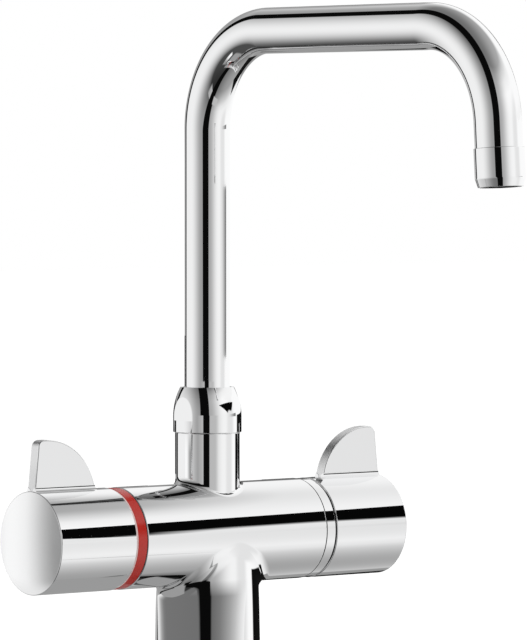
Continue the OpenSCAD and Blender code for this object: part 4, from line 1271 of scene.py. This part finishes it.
    def cards(self) -> list[Card]:
        """The cards around the tap.

        Returns:
            The cards, three of them with greys given by azimuth.
        """
        skirt = [(-161.8, 0.93), (-153.3, 0.72), (-148.7, 0.565), (-144.1, 0.4),
                 (-139.5, 0.31), (-133.1, 0.212), (-126, 0.18), (-56.6, 0.165),
                 (-54.1, 0.14), (-51.6, 0.003), (-33.3, 0.003), (-30.8, 0.14), (-16.6, 0.2),
                 (-7.4, 0.28), (2.7, 0.38), (13.8, 0.53), (25, 0.74), (37.2, 0.93)]
        neck = [(-72, 0.42), (-60, 0.42), (-53, 0.50), (-51, 0.003), (-32, 0.003),
                (-30, 0.49), (-12, 0.50), (0, 0.60)]
        wedge = [(29, 0.90), (35, 0.83), (41, 0.77), (48, 0.64), (55, 0.47), (63, 0.30),
                 (71, 0.16), (73, 0.16)]
        return [
            Card("overhead_panel", self.overhead(), even(0.002),
                 edges=((0, 1), (0.62, 1), (1, 0)), one_sided=True),
            Card("overhead_light", flat((60, -330, 314), (420, -330, 314), (0, 670, 0)),
                 even(0.93),
                 covers=((0, 0), (0.14, 0.10), (0.40, 0.74), (0.55, 0.78), (1, 0.78))),
            Card("left_ground_card", flat((-140, -22, 28), (-28, -22, 28), (0, 152, 0)),
                 even(0.33), covers=((0, 0), (0.15, 1), (1, 1)), edges=faded(0.025, 0.85),
                 one_sided=True),
            Card("back_ground_card", standing(self.far_r, 112, 172, -2300, -200),
                 ((0, 0.30), (1, 0.34)), edges=faded(0.1, 0.86)),
            Card("back_right_card", standing(300, 76, 136, -51, 139), ((0, 0.004), (1, 0.01)),
                 covers=((0, 0), (0.05, 1), (1, 1))),
            Card("back_card", standing(self.far_r, 141, 176, 260, 2150), even(0.34),
                 edges=((0, 0), (0.05, 1), (0.7, 1), (1, 0.5))),
            Card("back_line_card", standing(self.far_r, 118, 141, 330, 1350), even(0.16),
                 edges=faded(0.1, 0.75)),
            Card("left_edge_card", standing(350, 147, 177, 92, 168), even(0.004),
                 covers=((0, 1), (0.85, 1), (1, 0))),
            Card("right_wedge_card", standing(self.far_r, 29, 73, 50, 230), spread(wedge)),
            Card("neck_strip_card", standing(250, -72, 0, 84, 148), spread(neck),
                 covers=faded(0.1, 0.86)),
            Card("low_card", standing(38, skirt[0][0], skirt[-1][0], 64, -50, 96, 210),
                 spread(skirt), edges=faded(0.07, 0.85), one_sided=True),
            Card("end_card", flat((-145, 4, 52), (-145, 92, 52), (0, 0, 76)),
                 ((0.16, 0.305), (0.26, 0.337), (0.375, 0.509), (0.49, 0.745), (0.60, 0.93),
                  (0.77, 1.0)),
                 covers=faded(0.1, 0.9), edges=faded(0.1, 0.85)),
        ]

    def build(self) -> None:
        """Sets up world, floor, lamps and cards."""
        self.world()
        self.floor()
        self.lamps()
        cards = self.cards()
        for card in cards:
            card.build()
        log.info("studio: %d cards", len(cards))


@dataclass
class Viewpoint:
    """The camera at the photograph's viewing angle."""

    azimuth: float = 39.052
    pitch: float = -1.898
    distance: float = 2.509774
    aside: float = 0.027108
    height: float = 0.187991
    focal_px: float = 5203.018
    tall_px: int = 640
    sensor: float = 36.0

    def build(self) -> None:
        """Places the camera and makes it the scene's own."""
        a, p = math.radians(self.azimuth), math.radians(self.pitch)
        ahead = Vector((math.sin(a) * math.cos(p), math.cos(a) * math.cos(p), math.sin(p)))
        right = Vector((math.cos(a), -math.sin(a), 0))
        camera = bpy.data.cameras.new("camera")
        camera.sensor_width = self.sensor
        camera.lens = self.focal_px * self.sensor / self.tall_px
        camera.clip_end = 100
        holder = placed("camera", camera)
        holder.location = right * self.aside + Vector((0, 0, self.height)) - ahead * self.distance
        holder.rotation_euler = ahead.to_track_quat("-Z", "Y").to_euler()
        bpy.context.scene.camera = holder


def main() -> None:
    """Builds every sub-assembly, the studio and the camera."""
    logging.basicConfig(level=logging.INFO, format="%(message)s")
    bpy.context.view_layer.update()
    bpy.context.scene.view_settings.view_transform = "Standard"
    Viewpoint().build()
    CarriedSolids().dress()
    BodyCasting().build()
    UnionNut().build()
    SpoutPipe().build()
    OutletTip().build()
    TurnLever(Side.LEFT, "temperature_lever", "temperature_control", "temperature_handle").build()
    TurnLever(Side.RIGHT, "flow_lever", "flow_control", "flow_handle").build()
    BandRing(Side.LEFT, "hot_band", "temperature_ring", "mixer", "red_plastic", RED).build()
    BandRing(Side.RIGHT, "plain_band", "flow_ring", "mixer", "chrome", CHROME).build()
    ThreadedStud().build()
    Studio().build()


if __name__ == "__main__":
    main()
